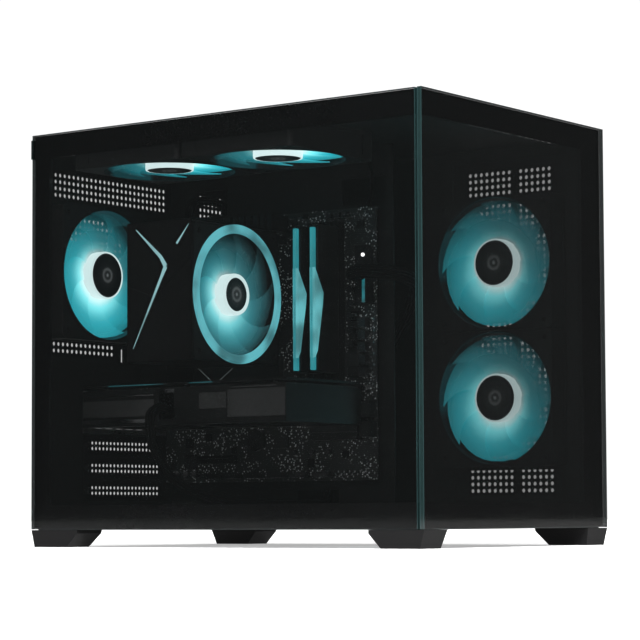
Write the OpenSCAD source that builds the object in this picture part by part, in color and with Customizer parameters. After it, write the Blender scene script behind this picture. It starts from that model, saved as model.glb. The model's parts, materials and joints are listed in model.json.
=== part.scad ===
// Desktop computer tower: a two-chamber micro-ATX case with glass on its left side and front.
// +Z is up, the front glass faces -Y, the side glass faces -X, the origin is under the middle.

/* [Case] */
// Width of the case over both side panels
case_w = 284; // [276:1:300]
// Depth of the case from the front glass to the rear wall
case_d = 420; // [410:1:440]
// Height of the case with its feet
case_h = 366; // [362:1:380]
// Height of the feet
foot_h = 15; // [10:1:20]
// How far the thumbscrews stand out behind the rear wall
rear_out = 6; // [5:0.5:8]

/* [Panels] */
// Thickness of both glass panes
glass_t = 4; // [3:0.5:5]
// Thickness of the steel sheets
sheet_t = 1; // [0.8:0.1:1.2]
// Width of the black band at the top and bottom of the glass
band_w = 21; // [15:1:24]
// Width of the black band at the rear edge of the side glass
rear_band_w = 17; // [12:1:24]
// Width of the black band at the right edge of the front glass
right_band_w = 32; // [26:1:40]

/* [Fans] */
// Side of a square case fan
fan_size = 120; // [116:1:120]
// Thickness of a case fan
fan_t = 25; // [24:0.5:25.5]
// Blades on a case fan
fan_blades = 7; // [5:1:9]
// Blades on a graphics card fan
card_blades = 9; // [7:1:11]

/* [Buttons] */
// Tilt of the rocker switch from its middle
rocker_tilt = 8; // [5:1:10]

/* [Hidden] */
$fn = 48;

// Case edges
x_left = -case_w / 2;
x_right = case_w / 2;
y_front = -(case_d + rear_out) / 2;
y_back = y_front + case_d;
z_base = foot_h;
z_top = case_h;

// Inner structure
x_in = x_left + glass_t + 4;       // left edge of the steel sheets
x_out = x_right - sheet_t - 0.5;   // right edge of the steel sheets
y_in = y_front + glass_t + 4;      // front edge of the steel sheets
y_wall = y_back - sheet_t;         // inner face of the rear wall
z_floor = z_base + sheet_t;        // top of the floor sheet
z_roof = z_top - 8;                // under side of the roof sheet
z_trim = z_top - 0.5;              // top of the filter and the control strip
frame_t = 3.5;                     // thickness of the glass frames

// Motherboard, a 244 mm square board on its tray
board_size = 244;
board_t = 1.6;
x_board = 41;                      // component side
y_board = y_wall - 0.5 - board_size;
z_board = 58;
standoff = 6.4;
x_tray = x_board + board_t + standoff;
tray_front = -52;

// Expansion slots
slot_pitch = 20.32;
slot_count = 5;
z_slot = 50.4;                     // middle of the lowest slot
slot_w = 18.4;
slot_left = -76;

// Case fans
fan_bore = 58.5;
hub_r = 22.5;
shaft_r = 2;
shaft_gap = 0.05;
rear_fan_at = [-70, y_wall, 245];
top_rear_fan_at = [-70, 108.5, z_roof];
top_front_fan_at = [-70, -13.5, z_roof];
side_fan_x = 129.5;
side_upper_fan_at = [side_fan_x, -121, 250.2];
side_lower_fan_at = [side_fan_x, -121, 129.6];

// Processor cooler
cooler_mid = [-48, 98, 221.6];     // fan axis in X and Z, fin middle in Y
cooler_fan_y = 73.7;
fin_x = [-104, -8];
fin_y = [74, 122.5];
fin_count = 24;
fin_t = 0.6;
pipe_r = 3;
pipe_y = [83, 93, 103, 113];
pipe_spread = 32;

// Memory sticks stand in the second and fourth of four sockets
memory_pitch = 9.4;
memory_y0 = -0.3;
memory_z = [152.5, 285.5];
memory_top = -4;

// Graphics card
card_x = [-80, 30];
card_y = [-29.6, 202];
card_z = [107, 144.5];
card_pcb_z = 139;
card_fan_r = 43;
card_fan_y = [148, 48];
card_fan_x = -25;

// Power supply, 150 x 140 x 86 mm, standing on edge behind the tray
psu_x = [51.5, 137.5];
psu_y = [y_wall - 140, y_wall];
psu_z = [22, 172];
psu_fan_r = 58;

// Front controls, along the control strip
strip_y = [y_in + 1.5, y_in + 27];
control_y = (strip_y[0] + strip_y[1]) / 2;
power_x = 104;
light_x = 88;
jack_x = 75;
usb_c_x = 61;
usb_a_x = [42, 21];
usb_a_size = [13, 5.6];

// Cable routes
card_cable_route = [[-84, 102, 121], [-94, 102, 121], [-104, 101, 115], [-108, 98, 102],
    [-106, 94, 84], [-92, 84, 58],
    [-60, 66, 40], [-16, 48, 36], [24, 38, 36], [58, 34, 38], [76, 42, 48], [82, 54, 57], [82, 66, 57]];
main_cable_route = [[28, -30, 240], [18, -30, 240], [9, -38, 240], [6, -52, 240], [14, -68, 239],
    [34, -76, 236], [58, -70, 226], [72, -44, 196], [80, -4, 150], [88, 36, 116], [92, 54, 105],
        [92, 66, 105]];
cpu_cable_route = [[31.5, 154, 294], [22, 154, 294], [14, 154, 302], [16, 154, 314], [28, 154, 320],
    [58, 154, 320], [68, 148, 304], [76, 120, 240], [100, 72, 200], [116, 46, 170], [118, 44, 146],
    [116, 54, 131], [116, 66, 131]];
fan_cable_route = [[-9, -40, 346], [6, -40, 349], [24, -38, 347], [40, -34, 336], [46, -30, 318],
    [46, -26, 303]];

// ---- helpers ----

// A box between two corners
module box(a, b) {
    translate(a) cube([b[0] - a[0], b[1] - a[1], b[2] - a[2]]);
}

// A flat outline in X and Z, from y0 to y1
module across_y(y0, y1) {
    translate([0, y1, 0]) rotate([90, 0, 0]) linear_extrude(y1 - y0) children();
}

// A flat outline in Y and Z, from x0 to x1
module across_x(x0, x1) {
    translate([x0, 0, 0]) rotate([90, 0, 90]) linear_extrude(x1 - x0) children();
}

// A flat outline in X and Y, from z0 to z1
module across_z(z0, z1) {
    translate([0, 0, z0]) linear_extrude(z1 - z0) children();
}

// A rectangle between two corners
module rect(a, b) {
    translate(a) square([b[0] - a[0], b[1] - a[1]]);
}

// A rectangle with round corners
module round_rect(a, b, r) {
    rect([a[0] + r, a[1]], [b[0] - r, b[1]]);
    rect([a[0], a[1] + r], [b[0], b[1] - r]);
    for (x = [a[0] + r, b[0] - r], y = [a[1] + r, b[1] - r]) translate([x, y]) circle(r);
}

// A cylinder along X, Y or Z between two stations
module rod_x(x0, x1, y, z, r) {
    translate([x0, y, z]) rotate([0, 90, 0]) cylinder(h = x1 - x0, r = r);
}
module rod_y(y0, y1, x, z, r) {
    translate([x, y1, z]) rotate([90, 0, 0]) cylinder(h = y1 - y0, r = r);
}
module rod_z(z0, z1, x, y, r) {
    translate([x, y, z0]) cylinder(h = z1 - z0, r = r);
}

// Vector helpers for the cable sweep
function unit(v) = v / norm(v);
function ahead(p, i) = unit(p[min(i + 1, len(p) - 1)] - p[max(i - 1, 0)]);
function flatten(v, t) = unit(v - (v * t) * t);
function ring(c, t, u, r, n) = let (v = cross(t, u))
    [for (k = [0:n - 1]) c + r * (cos(360 * k / n) * u + sin(360 * k / n) * v)];

// A round cable along a route; the side vector is carried from ring to ring, so it never twists
module cable(route, r, n = 8) {
    rows = len(route);
    sides = [for (i = 0, u = flatten([0.3, 0.9, 0.3], ahead(route, 0)); i < rows;
        i = i + 1, u = flatten(u, ahead(route, min(i, rows - 1)))) u];
    points = [for (i = [0:rows - 1]) each ring(route[i], ahead(route, i), sides[i], r, n)];
    side_faces = [for (i = [0:rows - 2], k = [0:n - 1], half = [0, 1])
        let (a = i * n + k, b = i * n + (k + 1) % n)
        half == 0 ? [a, b + n, b] : [a, a + n, b + n]];
    start_face = [for (k = [0:n - 1]) k];
    end_face = [for (k = [n - 1:-1:0]) (rows - 1) * n + k];
    polyhedron(points, concat([start_face], side_faces, [end_face]), convexity = 6);
}

// ---- fans ----

// A square fan frame from z 0 (the spoke side) to t, with its motor post and bearing
module fan_frame(size, t, bore) {
    half = size / 2;
    hole_at = half - 7.5;
    difference() {
        linear_extrude(t) difference() {
            round_rect([-half, -half], [half, half], 5);
            circle(bore, $fn = 96);
            for (x = [-hole_at, hole_at], y = [-hole_at, hole_at]) translate([x, y]) circle(2.2);
        }
        // waist between the two flanges
        for (a = [0:90:270]) rotate(a)
            translate([half - 0.8, -half + 17, 4]) cube([2, size - 34, t - 8]);
    }
    difference() {
        union() {
            cylinder(h = 3, r = 20);
            cylinder(h = 15, r = 5);
            for (a = [45:90:315]) rotate(a) translate([18, -2, 0]) cube([bore - 17, 4, 3]);
        }
        translate([0, 0, 2]) cylinder(h = 14, r = shaft_r + shaft_gap);
    }
}

// A fan rotor: hub cup, shaft and pitched blades, spinning in the frame above
module fan_rotor(tip_r, hub, depth, blades, chord, pitch) {
    top = depth + 4;
    difference() {
        union() {
            translate([0, 0, 4]) cylinder(h = depth, r = hub);
            intersection() {
                translate([0, 0, 5]) cylinder(h = depth - 2, r = tip_r, $fn = 96);
                for (i = [0:blades - 1]) rotate(i * 360 / blades)
                    translate([(tip_r + hub) / 2, 0, 4 + depth / 2]) rotate([pitch, 0, 0])
                        cube([tip_r - hub + 4, chord, 1.6], center = true);
            }
        }
        translate([0, 0, 3]) cylinder(h = depth - 1, r = hub - 1.5);
    }
    translate([0, 0, 4]) cylinder(h = depth - 1, r = shaft_r);
}

module case_fan_frame() { color([0.05, 0.05, 0.06]) fan_frame(fan_size, fan_t, fan_bore); }
module case_fan_rotor() {
    color([0.45, 0.85, 0.9]) fan_rotor(fan_bore - 1.2, hub_r, fan_t - 5, fan_blades, 30, 34);
}

// Places for the fans: the spoke side lies on the sheet, the rotor side looks into the case
module at_rear_fan() { translate(rear_fan_at) rotate([90, 0, 0]) children(); }
module at_top_fan(place) { translate(place) rotate([180, 0, 0]) children(); }
module at_side_fan(place) { translate(place) rotate([0, -90, 0]) children(); }
module at_cooler_fan() {
    translate([cooler_mid[0], cooler_fan_y, cooler_mid[2]]) rotate([90, 0, 0]) children();
}

module rear_fan_frame() { at_rear_fan() case_fan_frame(); }
module rear_fan_rotor() { at_rear_fan() case_fan_rotor(); }
module top_rear_fan_frame() { at_top_fan(top_rear_fan_at) case_fan_frame(); }
module top_rear_fan_rotor() { at_top_fan(top_rear_fan_at) case_fan_rotor(); }
module top_front_fan_frame() { at_top_fan(top_front_fan_at) case_fan_frame(); }
module top_front_fan_rotor() { at_top_fan(top_front_fan_at) case_fan_rotor(); }
module side_upper_fan_frame() { at_side_fan(side_upper_fan_at) case_fan_frame(); }
module side_upper_fan_rotor() { at_side_fan(side_upper_fan_at) case_fan_rotor(); }
module side_lower_fan_frame() { at_side_fan(side_lower_fan_at) case_fan_frame(); }
module side_lower_fan_rotor() { at_side_fan(side_lower_fan_at) case_fan_rotor(); }
module cooler_fan_frame() { at_cooler_fan() case_fan_frame(); }
module cooler_fan_rotor() { at_cooler_fan() case_fan_rotor(); }

// ---- case structure ----

vent_slot_w = 4;
vent_pitch = 9;

// Floor sheet with folded edges and two fields of bottom vents
module chassis_floor() {
    lip = 12;
    color([0.04, 0.04, 0.05]) {
        across_z(z_base, z_floor) difference() {
            rect([x_in, y_in], [x_out, y_wall]);
            for (i = [0:11], y = [-150, 20]) rect([-112 + i * vent_pitch, y],
                [-112 + vent_slot_w + i * vent_pitch, y + 120]);
        }
        box([x_in, y_in, z_floor], [x_in + sheet_t, y_wall, z_floor + lip]);
        box([x_in + sheet_t, y_in, z_floor], [x_out, y_in + sheet_t, z_floor + lip]);
        box([x_out - sheet_t, y_in + sheet_t, z_floor], [x_out, y_wall, z_floor + lip]);
    }
}

// Wire rings and spokes over a fan opening, as a flat outline
module ring_grille(r) {
    for (k = [1:3]) difference() { circle(r * k / 4 + 1.5); circle(r * k / 4 - 1.5); }
    for (a = [0, 90]) rotate(a) square([2 * r + 2, 4], center = true);
}

// Outline of the rear wall with the ports, slots, fan and power supply openings
module rear_outline() {
    difference() {
        rect([x_in, z_floor], [x_out, z_roof]);
        translate([rear_fan_at[0], rear_fan_at[2]]) circle(57);
        rect([-3.5, 141.5], [x_board, 299.5]);
        for (i = [0:slot_count - 1]) rect([-66, z_slot + i * slot_pitch - 6.5],
            [36, z_slot + i * slot_pitch + 6.5]);
        rect([psu_x[0] + 6, psu_z[0] + 14], [psu_x[1] - 6, psu_z[1] - 14]);
        for (x = [-52.5, 52.5], z = [-52.5, 52.5])
            translate([rear_fan_at[0] + x, rear_fan_at[2] + z]) circle(2.1);
        for (x = [psu_x[0] + 6, psu_x[1] - 6], z = [psu_z[0] + 6, psu_z[1] - 6])
            translate([x, z]) circle(2.1);
        for (z = thumb_z) translate([thumb_x, z]) circle(1.9);
    }
    translate([rear_fan_at[0], rear_fan_at[2]]) intersection() { circle(57.5); ring_grille(57); }
}

module rear_wall() {
    color([0.04, 0.04, 0.05]) across_y(y_wall, y_back) rear_outline();
}

// Roof sheet with two fan openings and folded-up edges
module top_frame() {
    color([0.04, 0.04, 0.05]) {
        across_z(z_roof, z_roof + sheet_t) difference() {
            rect([x_in, y_in], [x_out, y_wall]);
            for (p = [top_rear_fan_at, top_front_fan_at]) translate([p[0], p[1]]) circle(57);
            rect([11, strip_y[0] + 3], [111, strip_y[1] - 3]);
        }
        box([x_in, y_in, z_roof + sheet_t], [x_in + sheet_t, y_wall, z_top - 2]);
        box([x_out - sheet_t, y_in, z_roof + sheet_t], [x_out, y_wall, z_top - 2]);
        box([x_in, y_wall, z_roof], [x_out, y_back, z_top - 2]);
    }
}

// Tray for the motherboard, with cable openings and raised standoffs
module motherboard_tray() {
    y_hole = [y_board + 7, y_board + 120, y_board + 237];
    z_hole = [z_board + 7, z_board + 122, z_board + 237];
    color([0.04, 0.04, 0.05]) {
        across_x(x_tray, x_tray + sheet_t) difference() {
            rect([tray_front, z_floor], [y_wall, z_roof]);
            rect([10, 24], [56, 50]);
            rect([138, 308], [172, 332]);
            rect([-44, 306], [4, 330]);
            rect([66, 186], [130, 256]);
        }
        for (y = y_hole, z = z_hole) rod_x(x_board + board_t, x_tray, y, z, 3);
    }
}

// Column at the right front corner, a folded channel
module front_right_pillar() {
    color([0.04, 0.04, 0.05]) across_z(z_floor, z_roof) difference() {
        rect([112, y_in + sheet_t], [x_out - sheet_t, y_in + 12]);
        rect([114, y_in + sheet_t + 2], [x_out - sheet_t - 2, y_in + 13]);
    }
}

// Upright sheet that carries the two side fans
module side_fan_bracket() {
    color([0.04, 0.04, 0.05]) {
        across_x(side_fan_x, side_fan_x + sheet_t) difference() {
            rect([y_in + 12, z_floor], [-54, z_roof]);
            for (p = [side_upper_fan_at, side_lower_fan_at]) translate([p[1], p[2]]) circle(57);
        }
    }
}

// One perforated cover for an empty slot, with its folded screw tab
module slot_cover() {
    difference() {
        box([slot_left, y_wall - sheet_t, -slot_w / 2], [x_board - 1, y_wall, slot_w / 2]);
        for (row = [-3, 3]) for (i = [0:3])
            box([-62 + i * 24, y_wall - 2, row - 1.5], [-44 + i * 24, y_wall + 1, row + 1.5]);
    }
    box([slot_left, y_wall - 12, -5.5], [slot_left + sheet_t, y_wall - sheet_t, 5.5]);
}

module slot_covers() {
    color([0.05, 0.05, 0.06]) for (i = [0:2]) translate([0, 0, z_slot + i * slot_pitch]) slot_cover();
}

// Screws of one size: rear fan, power supply and expansion slots
module screw() {
    cylinder(h = 2, r = 3.2);
    translate([0, 0, -6]) cylinder(h = 6, r = 1.7);
}
module machine_screws() {
    color([0.25, 0.25, 0.27]) {
        for (x = [-52.5, 52.5], z = [-52.5, 52.5])
            translate([rear_fan_at[0] + x, y_back, rear_fan_at[2] + z]) rotate([-90, 0, 0]) screw();
        for (x = [psu_x[0] + 6, psu_x[1] - 6], z = [psu_z[0] + 6, psu_z[1] - 6])
            translate([x, y_back, z]) rotate([-90, 0, 0]) screw();
        for (i = [0:2])
            translate([slot_left, y_wall - 7, z_slot + i * slot_pitch]) rotate([0, -90, 0])
                cylinder(h = 2, r = 3);
    }
}

// A foot with slanted ends, at the front left corner
module foot() {
    length = 54;
    width = 33;
    intersection() {
        across_x(0, width) polygon([[0, foot_h], [4, 0], [length - 12, 0], [length, foot_h - 3],
            [length, foot_h]]);
        across_y(0, length) polygon([[0, foot_h], [0, 0], [width - 4, 0], [width, foot_h]]);
    }
}
module feet() {
    color([0.05, 0.05, 0.05]) {
        translate([x_left, y_front, 0]) foot();
        translate([x_right, y_front, 0]) mirror([1, 0, 0]) foot();
        translate([x_left, y_back, 0]) mirror([0, 1, 0]) foot();
        translate([x_right, y_back, 0]) mirror([1, 0, 0]) mirror([0, 1, 0]) foot();
    }
}

// ---- panels ----

z_pane = z_base + 0.5;
pane_gap = 2.5;

module side_glass() {
    color([0.1, 0.12, 0.13, 0.3])
        box([x_left, y_front + glass_t + pane_gap, z_pane], [x_left + glass_t, y_back, z_top]);
}

// Black frame behind the side glass, with the pull tab at its top rear corner
module side_glass_frame() {
    tab_z = [z_top - 21, z_top - 4];
    x_face = x_left + glass_t;
    color([0.03, 0.03, 0.03]) {
        across_x(x_face, x_face + frame_t) difference() {
            rect([y_in + 0.2, z_pane + 0.5], [y_back, z_top - 0.5]);
            rect([y_in - 1, z_pane + band_w], [y_back - rear_band_w, z_top - band_w]);
        }
        box([x_left + 1, y_back, tab_z[0]], [x_face + frame_t, y_back + 2.5, tab_z[1]]);
    }
}

module front_glass() {
    color([0.1, 0.12, 0.13, 0.3])
        box([x_left, y_front, z_pane], [x_right, y_front + glass_t, z_top]);
}

module front_glass_frame() {
    y_face = y_front + glass_t;
    color([0.03, 0.03, 0.03]) across_y(y_face, y_face + frame_t) difference() {
        rect([x_left + 4.5, z_pane + 0.5], [x_right - 0.5, z_top - 0.5]);
        rect([x_left, z_pane + band_w], [x_right - right_band_w, z_top - band_w]);
    }
}

thumb_x = 136;
thumb_z = [200, 330];

// Steel cover of the rear chamber with a flange folded over the rear wall
module right_panel() {
    color([0.05, 0.05, 0.06]) {
        across_x(x_right - sheet_t, x_right) difference() {
            rect([y_in - 0.2, z_base + 0.8], [y_back + sheet_t + 0.3, z_top - 0.2]);
            for (i = [0:8], z = [40, 190]) rect([70 + i * 12, z], [75 + i * 12, z + 110]);
            for (i = [0:8], z = [80, 200]) rect([-172 + i * 12, z], [-167 + i * 12, z + 110]);
        }
        across_y(y_back + 0.3, y_back + 0.3 + sheet_t) difference() {
            rect([thumb_x - 7, 188], [x_right - sheet_t, z_top - 4]);
            for (z = thumb_z) translate([thumb_x, z]) circle(1.9);
        }
    }
}

// Captive thumbscrews of the right panel
module thumbscrews() {
    color([0.12, 0.12, 0.13]) for (z = thumb_z) {
        rod_y(y_back + 0.3 + sheet_t, y_back + rear_out, thumb_x, z, 5.2);
        rod_y(y_wall - 5, y_back + 0.3 + sheet_t, thumb_x, z, 1.8);
    }
}

// Magnetic dust filter over the roof fans
module top_filter() {
    y0 = strip_y[1] + 0.5;
    y1 = y_wall - 1;
    x0 = x_in + sheet_t + 0.5;
    x1 = x_out - sheet_t - 0.5;
    rim = 6;
    slots = 17;
    color([0.05, 0.05, 0.06]) {
        across_z(z_roof + sheet_t, z_trim) difference() {
            rect([x0, y0], [x1, y1]);
            rect([x0 + rim, y0 + rim], [x1 - rim, y1 - rim]);
        }
        across_z(z_trim - 1.5, z_trim - 0.5) difference() {
            rect([x0 + rim, y0 + rim], [x1 - rim, y1 - rim]);
            for (i = [0:slots - 1], k = [0:2])
                rect([x0 + 14 + k * 80, y0 + 16 + i * 21], [x0 + 86 + k * 80, y0 + 22 + i * 21]);
        }
    }
}

// Control strip with button wells and sockets
module control_module() {
    z_low = z_roof - 8;
    color([0.04, 0.04, 0.05]) difference() {
        union() {
            box([x_in + sheet_t + 0.5, strip_y[0], z_roof + sheet_t],
                [x_out - sheet_t - 0.5, strip_y[1], z_trim]);
            box([12, strip_y[0] + 4, z_low], [110, strip_y[1] - 4, z_roof + sheet_t]);
        }
        rod_z(z_trim - 5, z_top, power_x, control_y, 6.3);
        rod_z(z_low + 2, z_trim, power_x, control_y, 2.4);
        rod_z(z_trim - 5, z_top, light_x, control_y, 3.8);
        rod_z(z_low + 2, z_trim, light_x, control_y, 1.9);
        rod_z(z_trim - 14, z_top, jack_x, control_y, 1.8);
        box([usb_c_x - 4.6, control_y - 1.7, z_trim - 8], [usb_c_x + 4.6, control_y + 1.7, z_top]);
        for (x = usb_a_x)
            box([x - usb_a_size[0] / 2, control_y - usb_a_size[1] / 2, z_trim - 13],
                [x + usb_a_size[0] / 2, control_y + usb_a_size[1] / 2, z_top]);
    }
}

module power_button() {
    color([0.2, 0.2, 0.22]) {
        rod_z(z_trim - 3, z_top, power_x, control_y, 6);
        rod_z(z_trim - 9, z_trim - 3, power_x, control_y, 2);
    }
}

module light_button() {
    color([0.2, 0.2, 0.22]) {
        rod_z(z_trim - 3, z_top, light_x, control_y, 3.5);
        rod_z(z_trim - 9, z_trim - 3, light_x, control_y, 1.5);
    }
}

// ---- motherboard and what it carries ----

module motherboard() {
    color([0.04, 0.045, 0.05])
        box([x_board, y_board, z_board], [x_board + board_t, y_board + board_size, z_board + board_size]);
}

function memory_slot_y(i) = memory_y0 + i * memory_pitch;

// Processor socket, memory and card slots, power and drive connectors
module board_sockets() {
    color([0.09, 0.09, 0.1]) {
        box([37, 72, 196], [x_board, 124, 248]);
        for (i = [0:3]) difference() {
            box([32, memory_slot_y(i) - 3.3, 147.5], [x_board, memory_slot_y(i) + 3.3, 290.5]);
            box([31, memory_slot_y(i) - 0.8, 152], [38, memory_slot_y(i) + 0.8, 286]);
        }
        difference() {
            box([30.5, 70, card_pcb_z - 2.9], [x_board, 160, card_pcb_z + 4.5]);
            box([30, 71.5, card_pcb_z - 0.1], [39, 158.5, card_pcb_z + 1.7]);
        }
        difference() {
            box([30.5, 120, 75], [x_board, 160, 82.4]);
            box([30, 122, 77.8], [39, 158, 79.6]);
        }
        box([28, y_board + 3, 214], [x_board, y_board + 14, 266]);
        box([31.5, 144, 288.5], [x_board, 164, 299.5]);
        for (i = [0:1]) box([30.5, y_board + 0.5, 96 + i * 18], [x_board, y_board + 12, 110 + i * 18]);
    }
}

// Chokes, capacitors, chips, headers and the clock battery
module board_components() {
    color([0.3, 0.3, 0.32]) {
        for (i = [0:6]) box([35, 130, 196 + i * 12], [x_board, 138, 205 + i * 12]);
        for (i = [0:4]) box([35, 62 + i * 13, 274], [x_board, 71 + i * 13, 282]);
        for (i = [0:5]) rod_x(31, x_board, -16, 180 + i * 12, 3);
        for (i = [0:3]) rod_x(31, x_board, 40, 160 + i * 10, 3);
        for (i = [0:4]) box([34, y_board + 8, 150 + i * 11], [x_board, y_board + 16, 158 + i * 11]);
        for (i = [0:5]) box([33, 10 + i * 26, z_board + 3], [x_board, 28 + i * 26, z_board + 8]);
        for (y = [14, 33, 53]) rod_x(38, x_board, y, 84, 3);
        rod_x(37, x_board, 96, 96, 10);
        box([39.4, 168, 70], [x_board, 182, 84]);
        box([39.4, 60, 88], [x_board, 76, 98]);
        for (i = [0:2]) box([36, -10 + i * 9, 294], [x_board, -4 + i * 9, 299]);
    }
}

// Finned blocks on the voltage regulators, the drive slot and the chip set
module board_heatsinks() {
    color([0.1, 0.1, 0.11]) {
        difference() {
            box([16, 142, 188], [x_board, 168, 284]);
            for (i = [0:10]) box([15, 141, 194 + i * 8], [30, 169, 197 + i * 8]);
        }
        difference() {
            box([16, 60, 285], [x_board, 138, 300]);
            for (i = [0:8]) box([15, 65 + i * 8, 284], [30, 68 + i * 8, 301]);
        }
        box([33, 66, 150], [x_board, 166, 172]);
        difference() {
            box([33, -22, 94], [x_board, 30, 132]);
            for (i = [0:4]) box([32, -23, 99 + i * 6.5], [35, 31, 101 + i * 6.5]);
        }
    }
}

// Sockets that look out of the rear wall
module rear_ports() {
    y_face = y_back + 0.4;
    y_deep = y_face - 12;
    color([0.3, 0.3, 0.32]) {
        for (z = [278, 258]) difference() {
            box([6, 178, z - 9.8], [x_board, y_face, z + 9.8]);
            for (x = [13, 29]) box([x - 2.8, y_deep, z - 6.5], [x + 2.8, y_face + 1, z + 6.5]);
        }
        difference() {
            box([6, 178, 222], [x_board, y_face, 244]);
            box([12, y_deep, 226], [26, y_face + 1, 240]);
        }
        difference() {
            box([6, 178, 197], [x_board, y_face, 219]);
            for (x = [14, 28]) box([x, y_face - 8, 200], [x + 6, y_face + 1, 216]);
        }
        for (z = [160, 173, 186]) difference() {
            box([6, 178, z - 6.3], [x_board, y_face, z + 6.3]);
            rod_y(y_face - 14, y_face + 1, 14, z, 1.8);
        }
    }
}

// Cover over the backs of the ports
module port_cover() {
    color([0.06, 0.06, 0.07]) {
        box([2, 172, 146], [5, y_wall - 2, 299]);
        box([5, 172, 146], [x_board, 175, 286]);
    }
}

module processor() {
    color([0.7, 0.7, 0.72]) box([34, 79, 203], [37, 117, 241]);
}

// ---- processor cooler ----

// One heat pipe: along the base and up through the fins at both ends
module heat_pipe(y) {
    bend = 12;
    x_low = 30;
    rod_z(cooler_mid[2] - pipe_spread + bend, cooler_mid[2] + pipe_spread - bend, x_low, y, pipe_r);
    for (s = [-1, 1]) {
        rod_x(fin_x[0] - 1, x_low - bend, y, cooler_mid[2] + s * pipe_spread, pipe_r);
        translate([x_low - bend, y, cooler_mid[2] + s * (pipe_spread - bend)])
            rotate([90, 0, 0]) rotate([0, 0, s > 0 ? 0 : -90])
                rotate_extrude(angle = 90) translate([bend, 0]) circle(pipe_r);
    }
}

module cooler_heatpipes() {
    color([0.75, 0.5, 0.35]) {
        for (y = pipe_y) heat_pipe(y);
        box([26, 78, 198], [34, 118, 246]);
    }
}

module cooler_fins() {
    step = (fin_x[1] - fin_x[0] - fin_t) / (fin_count - 1);
    color([0.5, 0.52, 0.55]) for (i = [0:fin_count - 1])
        across_x(fin_x[0] + i * step, fin_x[0] + i * step + fin_t) difference() {
            rect([fin_y[0], 163], [fin_y[1], 281]);
            for (y = pipe_y, s = [-1, 1]) translate([y, cooler_mid[2] + s * pipe_spread]) circle(pipe_r);
        }
}

// Black cover over the cooler's glass side, top and bottom
module cooler_cover() {
    color([0.04, 0.04, 0.045]) {
        box([-110.6, 48.7, 161], [-108.2, 123.5, 284]);
        box([-108.2, fin_y[0], 282], [-8, 123.5, 284]);
        box([-108.2, fin_y[0], 161], [-8, 123.5, 162.6]);
    }
}

// Memory stick: a board and its heat spreader
module memory_stick(y) {
    color([0.75, 0.8, 0.82]) {
        box([memory_top, y - 3.6, memory_z[0] + 0.5], [31.5, y + 3.6, memory_z[1] - 0.5]);
        box([31.5, y - 0.65, memory_z[0]], [37.5, y + 0.65, memory_z[1]]);
    }
}
module memory_stick_1() { memory_stick(memory_slot_y(2)); }
module memory_stick_2() { memory_stick(memory_slot_y(0)); }

// ---- graphics card ----

module card_board() {
    color([0.05, 0.06, 0.06]) {
        box([card_x[0] + 6, card_y[0] + 4, card_pcb_z], [card_x[1], card_y[1], card_pcb_z + 1.6]);
        box([card_x[1], 73, card_pcb_z], [38, 157, card_pcb_z + 1.6]);
    }
}

// Fin stack on a base plate, with the two fan bearings
module card_heatsink() {
    x0 = card_x[0] + 6;
    x1 = card_x[1] - 4;
    color([0.5, 0.52, 0.55]) {
        for (i = [0:17]) box([x0, card_y[0] + 8 + i * 12, 124.5], [x1, card_y[0] + 9 + i * 12, 136]);
        box([x0, card_y[0] + 6, 136], [x1, card_y[1] - 6, card_pcb_z]);
        for (y = card_fan_y) difference() {
            union() {
                rod_z(123, 136, card_fan_x, y, 14);
                rod_z(112, 123, card_fan_x, y, 4.5);
            }
            rod_z(111, 122, card_fan_x, y, shaft_r + shaft_gap);
        }
    }
}

// Shroud around the fans, stepped at the power plug
module card_shroud() {
    wall = 2;
    color([0.09, 0.09, 0.1]) difference() {
        box([card_x[0], card_y[0], card_z[0]], [card_x[1] - 1, card_y[1], card_pcb_z]);
        box([card_x[0] + wall, card_y[0] + wall, card_z[0] + wall],
            [card_x[1] - 1 - wall, card_y[1] - wall, card_pcb_z + 1]);
        for (y = card_fan_y) rod_z(card_z[0] - 1, card_z[0] + 3, card_fan_x, y, card_fan_r + 2);
        box([card_x[0] - 1, 94, 112], [card_x[0] + 5, 112, card_pcb_z + 1]);
    }
}

module card_backplate() {
    color([0.07, 0.07, 0.08])
        box([card_x[0] + 1, card_y[0], card_pcb_z + 3.6], [card_x[1] - 2, card_y[1], card_z[1]]);
    color([0.07, 0.07, 0.08]) for (x = [card_x[0] + 12, card_x[1] - 12],
        y = [card_y[0] + 20, 90, card_y[1] - 20])
        rod_z(card_pcb_z + 1.6, card_pcb_z + 3.6, x, y, 3);
}

module card_bracket() {
    color([0.6, 0.6, 0.62]) {
        across_y(y_wall - sheet_t, y_wall) difference() {
            rect([slot_left, 102.2], [x_board - 1, 140.8]);
            for (i = [0:3]) rect([-58 + i * 22, 123], [-42 + i * 22, 129]);
            for (i = [0:5]) rect([-60 + i * 14, 107], [-50 + i * 14, 115]);
        }
        box([slot_left, y_wall - 3.8, 103], [slot_left + sheet_t, y_wall - sheet_t, 140]);
    }
}

// Graphics card fan, hanging from its bearing with the hub facing down
module card_fan(y) {
    color([0.12, 0.12, 0.13]) translate([card_fan_x, y, 126]) rotate([180, 0, 0])
        fan_rotor(card_fan_r, 16, 13.5, card_blades, 17, 32);
}
module card_fan_rear() { card_fan(card_fan_y[0]); }
module card_fan_front() { card_fan(card_fan_y[1]); }

// ---- power supply and drive ----

psu_mid = [(psu_y[0] + psu_y[1]) / 2, (psu_z[0] + psu_z[1]) / 2];
inlet_at = [76, 56];               // X and Z of the inlet's middle
switch_at = [110, 56];             // X and Z of the switch's middle

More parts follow.
